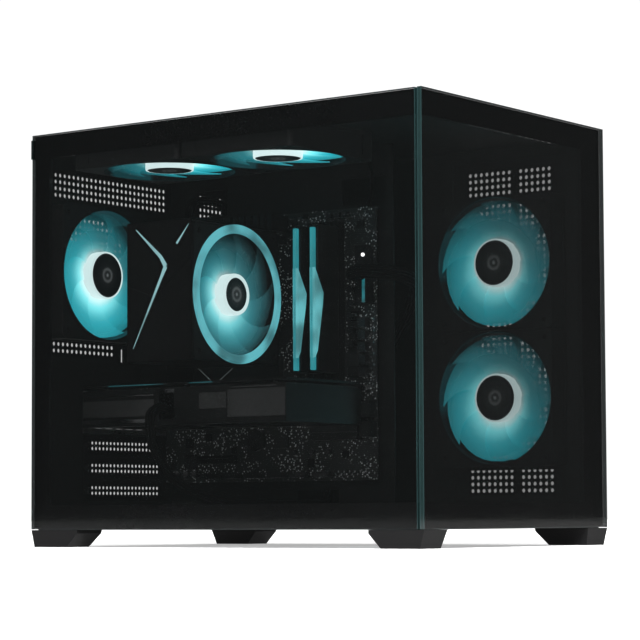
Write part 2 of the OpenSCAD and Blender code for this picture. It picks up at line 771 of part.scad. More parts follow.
module power_supply_case() {
    wall = 1;
    color([0.07, 0.07, 0.08]) {
        difference() {
            box([psu_x[0], psu_y[0], psu_z[0]], [psu_x[1], psu_y[1] - 0.1, psu_z[1]]);
            box([psu_x[0] + wall, psu_y[0] + wall, psu_z[0] + wall],
                [psu_x[1] - wall, psu_y[1] - 0.1 - wall, psu_z[1] - wall]);
            rod_x(psu_x[1] - 2, psu_x[1] + 1, psu_mid[0], psu_mid[1], psu_fan_r);
            box([inlet_at[0] - 14, psu_y[1] - 3, inlet_at[1] - 11],
                [inlet_at[0] + 14, psu_y[1] + 1, inlet_at[1] + 11]);
            box([switch_at[0] - 7, psu_y[1] - 3, switch_at[1] - 10],
                [switch_at[0] + 7, psu_y[1] + 1, switch_at[1] + 10]);
            for (x = [psu_x[0] + 6, psu_x[1] - 6], z = [psu_z[0] + 6, psu_z[1] - 6])
                rod_y(psu_y[1] - 3, psu_y[1] + 1, x, z, 1.7);
            for (i = [0:6], k = [0:2])
                box([psu_x[0] + 11 + k * 24, psu_y[1] - 3, 90 + i * 10],
                    [psu_x[0] + 30 + k * 24, psu_y[1] + 1, 95 + i * 10]);
        }
        // guard over the fan, with the motor post
        across_x(psu_x[1] - wall, psu_x[1]) translate(psu_mid)
            intersection() { circle(psu_fan_r); union() { ring_grille(psu_fan_r); circle(18); } }
        difference() {
            rod_x(psu_x[1] - 14, psu_x[1] - wall, psu_mid[0], psu_mid[1], 5);
            rod_x(psu_x[1] - 15, psu_x[1] - 2, psu_mid[0], psu_mid[1], shaft_r + shaft_gap);
        }
    }
}

module power_supply_fan() {
    color([0.1, 0.1, 0.11]) translate([psu_x[1], psu_mid[0], psu_mid[1]]) rotate([0, -90, 0])
        fan_rotor(psu_fan_r - 2, hub_r, fan_t - 5, fan_blades, 30, 34);
}

// Inlet body with a recess for the plug and its three pins
module power_inlet() {
    recess = 16;
    y_face = y_back + 0.6;
    color([0.04, 0.04, 0.04]) difference() {
        box([inlet_at[0] - 13.8, psu_y[1] - 20, inlet_at[1] - 10.8],
            [inlet_at[0] + 13.8, y_face, inlet_at[1] + 10.8]);
        box([inlet_at[0] - 12, y_face - recess, inlet_at[1] - 8.4],
            [inlet_at[0] + 12, y_face + 1, inlet_at[1] + 8.4]);
    }
    color([0.75, 0.75, 0.77]) for (p = [[-7, -2], [0, 2], [7, -2]])
        box([inlet_at[0] + p[0] - 1, y_face - recess, inlet_at[1] + p[1] - 2],
            [inlet_at[0] + p[0] + 1, y_face - 5, inlet_at[1] + p[1] + 2]);
}

// Rocker, resting on its lower side
module power_supply_switch() {
    pivot_y = y_back - 2;
    color([0.06, 0.06, 0.06]) translate([switch_at[0], pivot_y, switch_at[1]]) rotate([-rocker_tilt, 0, 0])
        intersection() {
            translate([-6, -6, -8.4]) cube([12, 9.4, 16.8]);
            rotate([0, 90, 0]) translate([0, 0, -6]) cylinder(h = 12, r = 8.8);
        }
}

module solid_state_drive() {
    color([0.16, 0.16, 0.17]) box([54, 100, 196], [61, 170, 296]);
}
module drive_bracket() {
    color([0.08, 0.08, 0.09]) {
        across_x(51.5, 54) difference() {
            round_rect([94, 188], [176, 304], 4);
            round_rect([106, 204], [164, 288], 4);
        }
        for (y = [98, 172], z = [192, 300]) rod_x(x_tray + sheet_t, 51.5, y, z, 3);
    }
}

// ---- cables ----

module card_power_cable() {
    color([0.05, 0.05, 0.05]) {
        cable(card_cable_route, 5);
        box([-91, 95, 113], [card_x[0] + 6, 111, 129]);
    }
}
module main_power_cable() {
    color([0.05, 0.05, 0.05]) {
        cable(main_cable_route, 7);
    }
}
module cpu_power_cable() {
    color([0.05, 0.05, 0.05]) cable(cpu_cable_route, 4.5);
}
module fan_cables() {
    color([0.05, 0.05, 0.05]) cable(fan_cable_route, 2);
}

// ---- the assembly ----

chassis_floor();
rear_wall();
top_frame();
motherboard_tray();
front_right_pillar();
side_fan_bracket();
slot_covers();
machine_screws();
feet();
side_glass();
side_glass_frame();
front_glass();
front_glass_frame();
right_panel();
thumbscrews();
top_filter();
control_module();
power_button();
light_button();
rear_fan_frame();
rear_fan_rotor();
top_rear_fan_frame();
top_rear_fan_rotor();
top_front_fan_frame();
top_front_fan_rotor();
side_upper_fan_frame();
side_upper_fan_rotor();
side_lower_fan_frame();
side_lower_fan_rotor();
motherboard();
board_sockets();
board_components();
board_heatsinks();
rear_ports();
port_cover();
processor();
cooler_heatpipes();
cooler_fins();
cooler_cover();
cooler_fan_frame();
cooler_fan_rotor();
memory_stick_1();
memory_stick_2();
card_board();
card_heatsink();
card_shroud();
card_backplate();
card_bracket();
card_fan_rear();
card_fan_front();
power_supply_case();
power_supply_fan();
power_supply_switch();
power_inlet();
solid_state_drive();
drive_bracket();
card_power_cable();
main_power_cable();
cpu_power_cable();
fan_cables();
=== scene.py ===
"""Looks of a two-chamber desktop computer tower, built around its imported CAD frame.

The axes are the CAD model's: +Z is up, the front glass faces -Y and the side glass -X. Shapes are
made in millimetres and become metres when a piece is finished. Finishes are in metres.
"""

import json
import logging
import math
from dataclasses import dataclass
from enum import Enum
from typing import Callable, Iterable, Sequence

import bmesh
import bpy
from mathutils import Matrix, Vector

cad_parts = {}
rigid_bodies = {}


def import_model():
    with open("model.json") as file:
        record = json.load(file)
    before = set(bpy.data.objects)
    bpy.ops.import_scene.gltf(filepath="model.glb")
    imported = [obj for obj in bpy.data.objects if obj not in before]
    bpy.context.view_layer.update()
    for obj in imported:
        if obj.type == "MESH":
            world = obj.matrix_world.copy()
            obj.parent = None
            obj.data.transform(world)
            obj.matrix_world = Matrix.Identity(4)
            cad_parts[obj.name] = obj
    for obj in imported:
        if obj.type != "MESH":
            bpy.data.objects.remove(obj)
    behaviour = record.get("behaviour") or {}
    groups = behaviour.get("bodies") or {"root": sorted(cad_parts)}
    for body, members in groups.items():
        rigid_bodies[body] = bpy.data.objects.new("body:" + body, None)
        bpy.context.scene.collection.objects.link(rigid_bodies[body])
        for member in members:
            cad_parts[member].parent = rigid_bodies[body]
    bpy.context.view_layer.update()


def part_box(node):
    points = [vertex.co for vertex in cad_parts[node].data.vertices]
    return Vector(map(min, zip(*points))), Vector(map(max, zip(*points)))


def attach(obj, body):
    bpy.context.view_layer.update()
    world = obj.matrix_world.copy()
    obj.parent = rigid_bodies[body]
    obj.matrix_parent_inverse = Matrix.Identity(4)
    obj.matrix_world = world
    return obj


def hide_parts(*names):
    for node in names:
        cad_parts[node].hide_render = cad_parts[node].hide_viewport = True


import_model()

LOG = logging.getLogger("tower")
MM = 0.001
Colour = tuple[float, float, float]
Point = Sequence[float]

CASE = "case"
ROUND = 0.0858  # bevel profile that turns a cut corner into a round hole


# ---------------------------------------------------------------- shading


class Number:
    """A number socket of a shader that takes part in Python arithmetic."""

    def __init__(self, shader: "Shader", socket: bpy.types.NodeSocket) -> None:
        """Wraps a socket.

        Args:
            shader: The shader that owns the socket.
            socket: The output socket to wrap.
        """
        self.shader = shader
        self.socket = socket

    def _math(self, operation: str, other: "Number | float", first: bool = True) -> "Number":
        """Adds one Math node.

        Args:
            operation: The Math node's operation.
            other: The second operand.
            first: Whether this number is the first operand.

        Returns:
            The result as a number.
        """
        pair = (self, other) if first else (other, self)
        sockets = {0: pair[0], 1: pair[1]}
        node = self.shader.node("ShaderNodeMath", {"operation": operation}, sockets)
        return Number(self.shader, node.outputs[0])

    def __add__(self, other: "Number | float") -> "Number":
        """Returns self + other."""
        return self._math("ADD", other)

    __radd__ = __add__

    def __sub__(self, other: "Number | float") -> "Number":
        """Returns self - other."""
        return self._math("SUBTRACT", other)

    def __rsub__(self, other: "Number | float") -> "Number":
        """Returns other - self."""
        return self._math("SUBTRACT", other, first=False)

    def __mul__(self, other: "Number | float") -> "Number":
        """Returns self * other."""
        return self._math("MULTIPLY", other)

    __rmul__ = __mul__

    def __truediv__(self, other: "Number | float") -> "Number":
        """Returns self / other."""
        return self._math("DIVIDE", other)

    def __pow__(self, other: "Number | float") -> "Number":
        """Returns self ** other."""
        return self._math("POWER", other)

    def __mod__(self, other: "Number | float") -> "Number":
        """Returns self wrapped into 0 to other, for negative values too."""
        return self._math("FLOORED_MODULO", other)

    def over(self, edge: float) -> "Number":
        """Returns 1 where this number is above the edge, else 0."""
        return self._math("GREATER_THAN", edge)

    def at_least(self, other: "Number | float") -> "Number":
        """Returns the larger of the two."""
        return self._math("MAXIMUM", other)

    def at_most(self, other: "Number | float") -> "Number":
        """Returns the smaller of the two."""
        return self._math("MINIMUM", other)

    def size(self) -> "Number":
        """Returns the value without its sign."""
        return self._math("ABSOLUTE", 0.0)

    def ramp(self, low: float, high: float, start: float = 0.0, end: float = 1.0) -> "Number":
        """Runs smoothly from start at low to end at high.

        Args:
            low: Where the ramp begins.
            high: Where the ramp ends.
            start: The result at low.
            end: The result at high.

        Returns:
            The clamped ramp.
        """
        node = self.shader.node(
            "ShaderNodeMapRange",
            {"interpolation_type": "SMOOTHSTEP", "clamp": True},
            {0: self, 1: low, 2: high, 3: start, 4: end},
        )
        return Number(self.shader, node.outputs[0])


class Shader:
    """A material and the nodes that make it."""

    def __init__(self, name: str) -> None:
        """Makes an empty material with a Principled shader.

        Args:
            name: The material's name.
        """
        self.material = bpy.data.materials.new(name)
        self.material.use_nodes = True
        self.tree = self.material.node_tree
        self.tree.nodes.clear()
        self.out = self.node("ShaderNodeOutputMaterial")
        self.bsdf = self.node("ShaderNodeBsdfPrincipled")
        self.tree.links.new(self.bsdf.outputs[0], self.out.inputs[0])

    def node(
        self, kind: str, settings: dict | None = None, sockets: dict | None = None
    ) -> bpy.types.Node:
        """Adds a node.

        Args:
            kind: The node's type.
            settings: Properties, set before the sockets.
            sockets: Values or links of its inputs, by name or index.

        Returns:
            The new node.
        """
        node = self.tree.nodes.new(kind)
        for key, value in (settings or {}).items():
            setattr(node, key, value)
        for key, value in (sockets or {}).items():
            self.feed(node.inputs[key], value)
        return node

    def feed(self, socket: bpy.types.NodeSocket, value: object) -> None:
        """Links a number or a socket to an input, or sets its value.

        Args:
            socket: The input.
            value: A Number, a socket, or a plain value.
        """
        if isinstance(value, Number):
            value = value.socket
        if isinstance(value, bpy.types.NodeSocket):
            self.tree.links.new(value, socket)
        elif socket.type == "RGBA" and len(value) == 3:
            socket.default_value = (*value, 1.0)
        else:
            socket.default_value = value

    def surface(self, **inputs: object) -> None:
        """Sets inputs of the Principled shader, with spaces in their names written as underscores."""
        for key, value in inputs.items():
            self.feed(self.bsdf.inputs[key.replace("_", " ")], value)

    def place(self, centre: Point = (0, 0, 0)) -> bpy.types.NodeSocket:
        """Returns the point on the piece, measured from a centre.

        Args:
            centre: The pattern's own origin in the frame.

        Returns:
            A vector socket.
        """
        where = self.node("ShaderNodeTexCoord").outputs["Object"]
        shift = tuple(-c for c in centre)
        return self.node("ShaderNodeMapping", None, {0: where, 1: shift}).outputs[0]

    def around(self, centre: Point, axis: int) -> tuple[list[Number], Number]:
        """Returns the place round an axis of the frame.

        Args:
            centre: A point of the axis.
            axis: 0, 1 or 2 for an axis along X, Y or Z.

        Returns:
            The two numbers across the axis, and the distance from it.
        """
        across = [p for k, p in enumerate(self.parts(self.place(centre))) if k != axis]
        return across, (across[0] * across[0] + across[1] * across[1]) ** 0.5

    def parts(self, vector: bpy.types.NodeSocket) -> tuple[Number, Number, Number]:
        """Splits a vector into its three numbers."""
        split = self.node("ShaderNodeSeparateXYZ", None, {0: vector})
        return tuple(Number(self, s) for s in split.outputs)

    def noise(self, vector: bpy.types.NodeSocket, scale: float, detail: float = 3.0) -> Number:
        """Returns a noise from 0 to 1.

        Args:
            vector: Where it is sampled.
            scale: Features per metre.
            detail: Octaves.

        Returns:
            The noise as a number.
        """
        sockets = {"Vector": vector, "Scale": scale, "Detail": detail}
        node = self.node("ShaderNodeTexNoise", None, sockets)
        return Number(self, node.outputs[0])

    def cells(
        self, vector: bpy.types.NodeSocket, scale: float
    ) -> tuple[Number, bpy.types.NodeSocket]:
        """Returns the distance and the random colour of Voronoi cells.

        Args:
            vector: Where it is sampled.
            scale: Cells per metre.

        Returns:
            The distance to the cell's middle, and the cell's colour socket.
        """
        sockets = {"Vector": vector, "Scale": scale}
        node = self.node("ShaderNodeTexVoronoi", {"distance": "CHEBYCHEV"}, sockets)
        return Number(self, node.outputs[0]), node.outputs[1]

    def blend(self, factor: Number, low: object, high: object) -> bpy.types.NodeSocket:
        """Mixes two colours.

        Args:
            factor: 0 for low, 1 for high.
            low: A colour or a colour socket.
            high: A colour or a colour socket.

        Returns:
            The mixed colour.
        """
        node = self.node("ShaderNodeMix", {"data_type": "RGBA"}, {0: factor})
        self.feed(node.inputs[6], low)
        self.feed(node.inputs[7], high)
        return node.outputs[2]

    def bump(self, height: Number, depth: float) -> bpy.types.NodeSocket:
        """Turns a height into a normal.

        Args:
            height: The height, 0 to 1.
            depth: The height of 1, in metres.

        Returns:
            The normal socket.
        """
        sockets = {"Height": height, "Distance": depth}
        return self.node("ShaderNodeBump", None, sockets).outputs[0]


@dataclass(frozen=True)
class Finish:
    """A finish with a base colour, gloss and a fine surface grain."""

    name: str
    colour: Colour
    roughness: float = 0.5
    metallic: float = 0.0
    grain: float = 2500.0
    grain_depth: float = 0.00002
    mottle: float = 0.25
    ior: float = 1.45

    def material(self) -> bpy.types.Material:
        """Builds the material, with the grain as bump and wear as changing roughness."""
        shader = Shader(self.name)
        where = shader.place()
        fine = shader.noise(where, self.grain, 2.0)
        broad = shader.noise(where, 18.0, 4.0)
        tint = (broad - 0.5) * self.mottle + (fine - 0.5) * self.mottle
        darker = tuple(c * (1 - self.mottle) for c in self.colour)
        lighter = tuple(min(1.0, c * (1 + self.mottle)) for c in self.colour)
        shader.surface(
            Base_Color=shader.blend((tint + 0.5).ramp(0.2, 0.8), darker, lighter),
            Roughness=(tint * 0.5 + self.roughness).ramp(0.0, 1.0),
            Metallic=self.metallic,
            IOR=self.ior,
            Normal=shader.bump(fine, self.grain_depth),
        )
        return shader.material


class Black(Enum):
    """The tower's black finishes."""

    POWDER = Finish("powder_coat", (0.0022, 0.0023, 0.0024), 0.55, 0.0, 3200.0, 0.00004, ior=1.3)
    BAND = Finish("printed_band", (0.0042, 0.0042, 0.0044), 0.22, 0.0, 600.0, 0.000002, ior=1.22)
    MATTE = Finish("moulded_black", (0.004, 0.004, 0.0042), 0.6, grain=2600.0, ior=1.25)
    SATIN = Finish("satin_black", (0.003, 0.003, 0.0033), 0.42, grain=1800.0, ior=1.2)
    CARD = Finish("card_plastic", (0.0035, 0.0037, 0.0038), 0.42, grain=1500.0, ior=1.25)
    PANEL = Finish("card_panel", (0.03, 0.031, 0.031), 0.36, grain=1500.0, ior=1.45)
    SLEEVE = Finish("cable_sleeve", (0.0018, 0.0018, 0.0018), 0.85, 0.0, 4000.0, 0.0001, ior=1.15)
    ANODISED = Finish("black_anodised", (0.012, 0.012, 0.013), 0.42, 0.6, grain=5000.0)
    ZINC = Finish("black_zinc", (0.03, 0.03, 0.032), 0.35, 0.8, grain=2000.0)


class Metal(Enum):
    """The bare metals."""

    FIN = Finish("rolled_fin", (0.16, 0.17, 0.18), 0.32, 1.0, grain=900.0, grain_depth=0.00001)
    NICKEL = Finish("nickel_plate", (0.42, 0.43, 0.44), 0.24, 1.0, grain=700.0, grain_depth=0.00001)
    STEEL = Finish("plain_steel", (0.26, 0.27, 0.27), 0.36, 1.0, grain=1200.0)
    PORT = Finish("port_shell", (0.3, 0.3, 0.31), 0.3, 1.0, grain=1400.0)
    GOLD = Finish("contact_gold", (0.55, 0.38, 0.12), 0.3, 1.0, grain=1400.0)
    SOLDER = Finish("solder_silver", (0.42, 0.45, 0.46), 0.3, 0.9, grain=2400.0)


@dataclass(frozen=True)
class Light:
    """A diffuser that glows, with soft changes of brightness along it; also used for a painted
    highlight.
    """

    name: str
    colour: Colour
    strength: float = 1.0
    ripple: float = 0.3
    scale: float = 40.0

    def material(self) -> bpy.types.Material:
        """Builds the glowing material."""
        shader = Shader(self.name)
        where = shader.place()
        wave = shader.noise(where, self.scale, 2.0).ramp(0.3, 0.7, 1.0 - self.ripple, 1.0)
        grain = shader.noise(where, 1500.0, 2.0)
        dim = tuple(c * self.strength * 0.45 for c in self.colour)
        full = tuple(c * self.strength * 1.35 for c in self.colour)
        shader.surface(
            Base_Color=(0.03, 0.05, 0.05),
            Roughness=(grain * 0.2 + 0.3),
            Emission_Color=shader.blend(wave.ramp(0.4, 1.0), dim, full),
            Emission_Strength=1.0,
            Normal=shader.bump(grain, 0.00001),
        )
        return shader.material


# the lights' sea-green and the near white next to their lamps
TEAL: Colour = (0.012, 0.33, 0.39)
AQUA: Colour = (0.15, 0.62, 0.66)
FROST: Colour = (0.42, 0.66, 0.66)
ICE: Colour = (0.80, 1.0, 1.0)


@dataclass(frozen=True)
class Pane:
    """Smoked safety glass, clearer when looked through squarely, with sea-green ground edges; the corner
    edge glows, a painted highlight.
    """

    low: Point
    high: Point

    def material(self) -> bpy.types.Material:
        """Builds the glass between its two corners."""
        shader = Shader("safety_glass")
        where = shader.place()
        x, y, z = shader.parts(where)
        thin_x = self.high[0] - self.low[0] < 0.01
        along, axis = (y, 1) if thin_x else (x, 0)
        start, end = self.low[axis], self.high[axis]
        corner = along.ramp(start + 0.1 * MM, start + 0.6 * MM, 1.0, 0.0)
        across, side = (x, 0) if thin_x else (y, 1)
        middle = (self.low[side] + self.high[side]) / 2
        rims = (across - middle).size().ramp(1.3 * MM, 1.8 * MM, 0.12, 1.0)
        rest = along.over(end - 0.3 * MM).at_least(z.over(self.high[2] - 0.3 * MM))
        foot = z.ramp(self.low[2] + 0.2 * MM, self.low[2] + 0.3 * MM, 1.0, 0.0)
        edge = corner.at_least(rest.at_least(foot))
        gloss = Number(shader, shader.node("ShaderNodeFresnel", None, {"IOR": 1.45}).outputs[0])
        smear = shader.noise(where, 9.0, 4.0)
        clear = (gloss * 0.45 + 0.27 + smear * 0.01).at_most(1.0)
        shader.surface(
            Base_Color=shader.blend(edge, (0.002, 0.003, 0.003), (0.004, 0.012, 0.012)),
            Roughness=smear * 0.03 + 0.02,
            Alpha=clear.at_least(edge * 0.97),
            # painted highlight: the ground edge at the corner glows sea-green
            Emission_Color=shader.blend(corner * rims, (0.0, 0.0, 0.0), (0.022, 0.045, 0.046)),
            Emission_Strength=1.0,
            IOR=1.5,
        )
        shader.material.surface_render_method = "BLENDED"
        return shader.material


@dataclass(frozen=True)
class BladeGlow:
    """Frosted fan blades lit from the hub: white at the root, sea-green outwards.

    The glow is stronger towards one side, its lean, and the blades are clearer opposite it.
    """

    centre: Point
    axis: int
    hub: float
    tip: float
    power: float = 1.0
    lean: tuple[float, float] = (0.0, -1.0)
    spread: float = 1.4

    def material(self) -> bpy.types.Material:
        """Builds the blades' material around the fan's axis."""
        shader = Shader("lit_blade")
        axes, away = shader.around(self.centre, self.axis)
        side = (axes[0] * self.lean[0] + axes[1] * self.lean[1]) / (away + 0.001)
        reach = ((away - self.hub) / (self.tip - self.hub)).at_least(0.0).at_most(1.0)
        near = 1.0 - reach
        lit = side.ramp(-1.0, 1.0, 0.28, 1.0)
        root = near ** (side * -1.5 + 3.4)
        glow = (near * (2.6 - self.spread) + self.spread) * lit * self.power
        grain = shader.noise(shader.place(self.centre), 900.0, 2.0)
        warm = shader.blend(root.ramp(0.05, 0.6), TEAL, AQUA)
        hot = shader.blend(root.ramp(0.5, 0.95), warm, FROST)
        scale = {"operation": "SCALE"}
        shining = shader.node("ShaderNodeVectorMath", scale, {0: hot, "Scale": glow})
        haze = near.ramp(0.0, 0.6, 0.26, 0.85)
        cover = (haze + side * 0.3 + 0.1).at_least(0.12).at_most(0.96)
        shader.surface(
            Base_Color=(0.10, 0.16, 0.17),
            Roughness=grain * 0.2 + 0.35,
            Emission_Color=shining.outputs[0],
            Emission_Strength=1.0,
            Alpha=cover,
            Normal=shader.bump(grain, 0.00002),
        )
        return shader.material


@dataclass(frozen=True)
class LitFrame:
    """Black fan frame whose bore catches the blades' light."""

    centre: Point
    axis: int
    bore: float
    power: float = 1.0

    def material(self) -> bpy.types.Material:
        """Builds the frame's material around the fan's axis."""
        shader = Shader("fan_frame")
        _, away = shader.around(self.centre, self.axis)
        outwards = away.ramp(self.bore + 0.00005, self.bore + 0.0002, 1.0, 0.0)
        inside = outwards * away.over(self.bore - 0.0004)
        grain = shader.noise(shader.place(self.centre), 2600.0, 2.0)
        spill = tuple(c * self.power for c in TEAL)
        shader.surface(
            Base_Color=shader.blend(grain, (0.003, 0.003, 0.0032), (0.006, 0.006, 0.0064)),
            Roughness=grain * 0.2 + 0.5,
            IOR=1.3,
            Emission_Color=shader.blend(inside, (0.0, 0.0, 0.0), spill),
            Emission_Strength=1.0,
            Normal=shader.bump(grain, 0.00002),
        )
        return shader.material


@dataclass(frozen=True)
class HubCap:
    """Black hub cap with a faint grey ring and a bright point where the shaft ends, both painted
    highlights that glow.
    """

    centre: Point
    axis: int

    def material(self) -> bpy.types.Material:
        """Builds the cap's material around the fan's axis."""
        shader = Shader("hub_cap")
        _, away = shader.around(self.centre, self.axis)
        ring = (1.0 - ((away - 0.0055) / 0.0022).size()).ramp(0.0, 1.0)
        point = away.ramp(0.0004, 0.0022, 1.0, 0.0)
        # painted highlights: the ring, the shaft's end and a faint glow round the middle lighten the
        # colour and glow
        painted_shine = (ring * 0.16 + point * 0.35 + away.ramp(0.002, 0.014, 0.03, 0.0)).at_most(1.0)
        grain = shader.noise(shader.place(self.centre), 1500.0, 2.0)
        shader.surface(
            Base_Color=shader.blend(painted_shine, (0.006, 0.008, 0.009), (0.5, 0.5, 0.5)),
            Roughness=grain * 0.2 + 0.35,
            Emission_Color=shader.blend(painted_shine, (0.0, 0.001, 0.0012), (0.45, 0.5, 0.5)),
            Emission_Strength=1.0,
            Normal=shader.bump(grain, 0.00001),
        )
        return shader.material


@dataclass(frozen=True)
class Laminate:
    """Black circuit board with fine traces, pads and solder points on the plane of two axes; the traces
    and pads can also glow faintly, a painted highlight.
    """

    name: str = "circuit_board"
    across: int = 1
    pads: float = 0.62
    # strength of the painted highlight on the traces and pads
    painted_shine: float = 0.0

    def material(self) -> bpy.types.Material:
        """Builds the board's material."""
        shader = Shader(self.name)
        where = shader.place()
        spot, tone = shader.cells(where, 420.0)
        patch = shader.noise(where, 45.0, 3.0)
        pad = (1.0 - spot.ramp(0.18, 0.26)) * patch.ramp(self.pads - 0.06, self.pads)
        parts = shader.parts(where)
        u, v = parts[self.across], parts[2]
        bend = shader.noise(where, 25.0, 1.0) * 0.012
        trace_u = (((u + bend) * 650.0) % 1.0).over(0.72)
        trace_v = (((v + bend) * 520.0) % 1.0).over(0.75)
        region = shader.noise(where, 30.0, 2.0).over(0.5)
        trace = trace_u * region + trace_v * (1.0 - region)
        board = shader.blend(trace * 0.8, (0.0025, 0.0028, 0.003), (0.018, 0.02, 0.021))
        silver = shader.blend(Number(shader, tone), (0.2, 0.22, 0.22), (0.7, 0.74, 0.74))
        # painted highlight: a faint glint on the traces, and the pads glowing silver
        painted_glint = shader.blend(trace, (0.0, 0.0, 0.0), (0.004, 0.0045, 0.0045))
        shader.surface(
            Base_Color=shader.blend(pad, board, silver),
            Roughness=pad * -0.1 + 0.42,
            Metallic=pad * 0.85,
            IOR=1.4,
            Emission_Color=shader.blend(pad, painted_glint, silver),
            Emission_Strength=self.painted_shine,
            Normal=shader.bump(trace * 0.3 + pad, 0.00008),
        )
        return shader.material


# ---------------------------------------------------------------- shapes


def corners(parts: Iterable[object]) -> list[bmesh.types.BMVert]:
    """Returns the vertices among a mesh's vertices, edges and faces."""
    return [part for part in parts if isinstance(part, bmesh.types.BMVert)]


class Shape:
    """A mesh under construction, in millimetres until it is placed."""

    def __init__(self) -> None:
        """Starts an empty mesh."""
        self.bm = bmesh.new()

    def box(self, low: Point, high: Point, round_off: float = 0.0) -> "Shape":
        """Adds a box between two corners.

        Args:
            low: The lowest corner.
            high: The highest corner.
            round_off: Width of its bevel.

        Returns:
            This shape.
        """
        made = bmesh.ops.create_cube(self.bm, size=1.0)["verts"]
        scale = [h - l for l, h in zip(low, high)]
        middle = [(l + h) / 2 for l, h in zip(low, high)]
        bmesh.ops.scale(self.bm, vec=scale, verts=made)
        bmesh.ops.translate(self.bm, vec=middle, verts=made)
        if round_off:
            edges = list({e for v in made for e in v.link_edges})
            self.bevel(edges, round_off)
        return self

    def bevel(self, edges: list, width: float, segments: int = 2) -> None:
        """Rounds some edges.

        Args:
            edges: The edges.
            width: The bevel's width.
            segments: Its steps.
        """
        bmesh.ops.bevel(
            self.bm,
            geom=edges,
            offset=width,
            segments=segments,
            profile=0.5,
            affect="EDGES",
            material=-1,
        )

    def rod(
        self, start: Point, end: Point, radius: float, sides: int = 20, tip: float | None = None
    ) -> "Shape":
        """Adds a closed cylinder or cone between two points.

        Args:
            start: Middle of the first end.
            end: Middle of the second end.
            radius: Radius at the first end.
            sides: Number of sides.
            tip: Radius at the second end, the same as the first if left out.

        Returns:
            This shape.
        """
        a, b = Vector(start), Vector(end)
        turn = (b - a).to_track_quat("Z", "Y").to_matrix().to_4x4()
        bmesh.ops.create_cone(
            self.bm,
            cap_ends=True,
            segments=sides,
            radius1=radius,
            radius2=radius if tip is None else tip,
            depth=(b - a).length,
            matrix=Matrix.Translation((a + b) / 2) @ turn,
        )
        return self

    def turned(
        self, outline: Sequence[tuple[float, float]], steps: int = 48, closed: bool = True
    ) -> "Shape":
        """Adds a solid of revolution about Z.

        Args:
            outline: Radius and height of each point of the profile.
            steps: Steps round the turn.
            closed: Whether the profile closes on itself.

        Returns:
            This shape.
        """
        points = [self.bm.verts.new((r, 0, z)) for r, z in outline]
        pairs = list(zip(points, points[1:] + (points[:1] if closed else [])))
        edges = [self.bm.edges.new(p) for p in (pairs if closed else pairs[: len(points) - 1])]
        bmesh.ops.spin(
            self.bm,
            geom=points + edges,
            cent=(0, 0, 0),
            axis=(0, 0, 1),
            angle=math.tau,
            steps=steps,
            use_merge=True,
            use_duplicate=False,
        )
        bmesh.ops.remove_doubles(self.bm, verts=self.bm.verts[:], dist=1e-4)
        bmesh.ops.recalc_face_normals(self.bm, faces=self.bm.faces[:])
        return self

    def outline(self, points: Sequence[tuple[float, float]], depth: float) -> "Shape":
        """Adds a flat outline in X and Y, thickened upwards.

        Args:
            points: The outline, in order.
            depth: Its thickness along Z.

        Returns:
            This shape.
        """
        ring = [self.bm.verts.new((x, y, 0)) for x, y in points]
        face = self.bm.faces.new(ring)
        face.normal_update()
        if face.normal.z > 0:
            bmesh.ops.reverse_faces(self.bm, faces=[face])
        made = bmesh.ops.extrude_face_region(self.bm, geom=[face])["geom"]
        # the source face stays as the bottom, and the copy rises
        bmesh.ops.translate(self.bm, vec=(0, 0, depth), verts=corners(made))
        bmesh.ops.recalc_face_normals(self.bm, faces=self.bm.faces[:])
        return self

    def move(self, matrix: Matrix) -> "Shape":
        """Applies a matrix to everything made so far."""
        bmesh.ops.transform(self.bm, matrix=matrix, verts=self.bm.verts[:])
        return self

    def copies(self, matrices: Iterable[Matrix]) -> "Shape":
        """Replaces the shape by copies of itself.

        Args:
            matrices: One per copy.

        Returns:
            This shape.
        """
        source = self.bm.verts[:] + self.bm.edges[:] + self.bm.faces[:]
        for matrix in matrices:
            made = bmesh.ops.duplicate(self.bm, geom=source)["geom"]
            bmesh.ops.transform(self.bm, matrix=matrix, verts=corners(made))
        bmesh.ops.delete(self.bm, geom=corners(source), context="VERTS")
        return self

    def add(self, other: "Shape") -> "Shape":
        """Takes in another shape and frees it."""
        mesh = bpy.data.meshes.new("part")
        other.bm.to_mesh(mesh)
        self.bm.from_mesh(mesh)
        bpy.data.meshes.remove(mesh)
        other.bm.free()
        return self

    def piece(
        self,
        name: str,
        finish: object,
        slot: str,
        body: str = CASE,
        replaces: Sequence[str] = (),
        smooth: bool = False,
    ) -> bpy.types.Object:
        """Makes the finished piece and hangs it on a body.

        Args:
            name: The piece's name.
            finish: A finish, an Enum of one, or a material.
            slot: The record's material slot; not used.
            body: The body that it rides on.
            replaces: CAD nodes that it stands for.
            smooth: Whether its gentle angles are shaded smooth.

        Returns:
            The new object.
        """
        self.bm.transform(Matrix.Scale(MM, 4))
        mesh = bpy.data.meshes.new(name)
        self.bm.to_mesh(mesh)
        self.bm.free()
        if smooth:
            mesh.shade_smooth()
            mesh.set_sharp_from_angle(angle=math.radians(35))
        mesh.materials.append(material_of(finish))
        piece = bpy.data.objects.new(name, mesh)
        bpy.context.scene.collection.objects.link(piece)
        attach(piece, body)
        if replaces:
            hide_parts(*replaces)
        LOG.info("piece %s with %d faces on %s", name, len(mesh.polygons), body)
        return piece


_made: dict[str, bpy.types.Material] = {}


def material_of(finish: object) -> bpy.types.Material:
    """Returns a finish's material, made once.

    Args:
        finish: A finish, an Enum of one, or a material.

    Returns:
        The material.
    """
    if isinstance(finish, bpy.types.Material):
        return finish
    if isinstance(finish, Enum):
        finish = finish.value
    key = repr(finish)
    if key not in _made:
        _made[key] = finish.material()
    return _made[key]


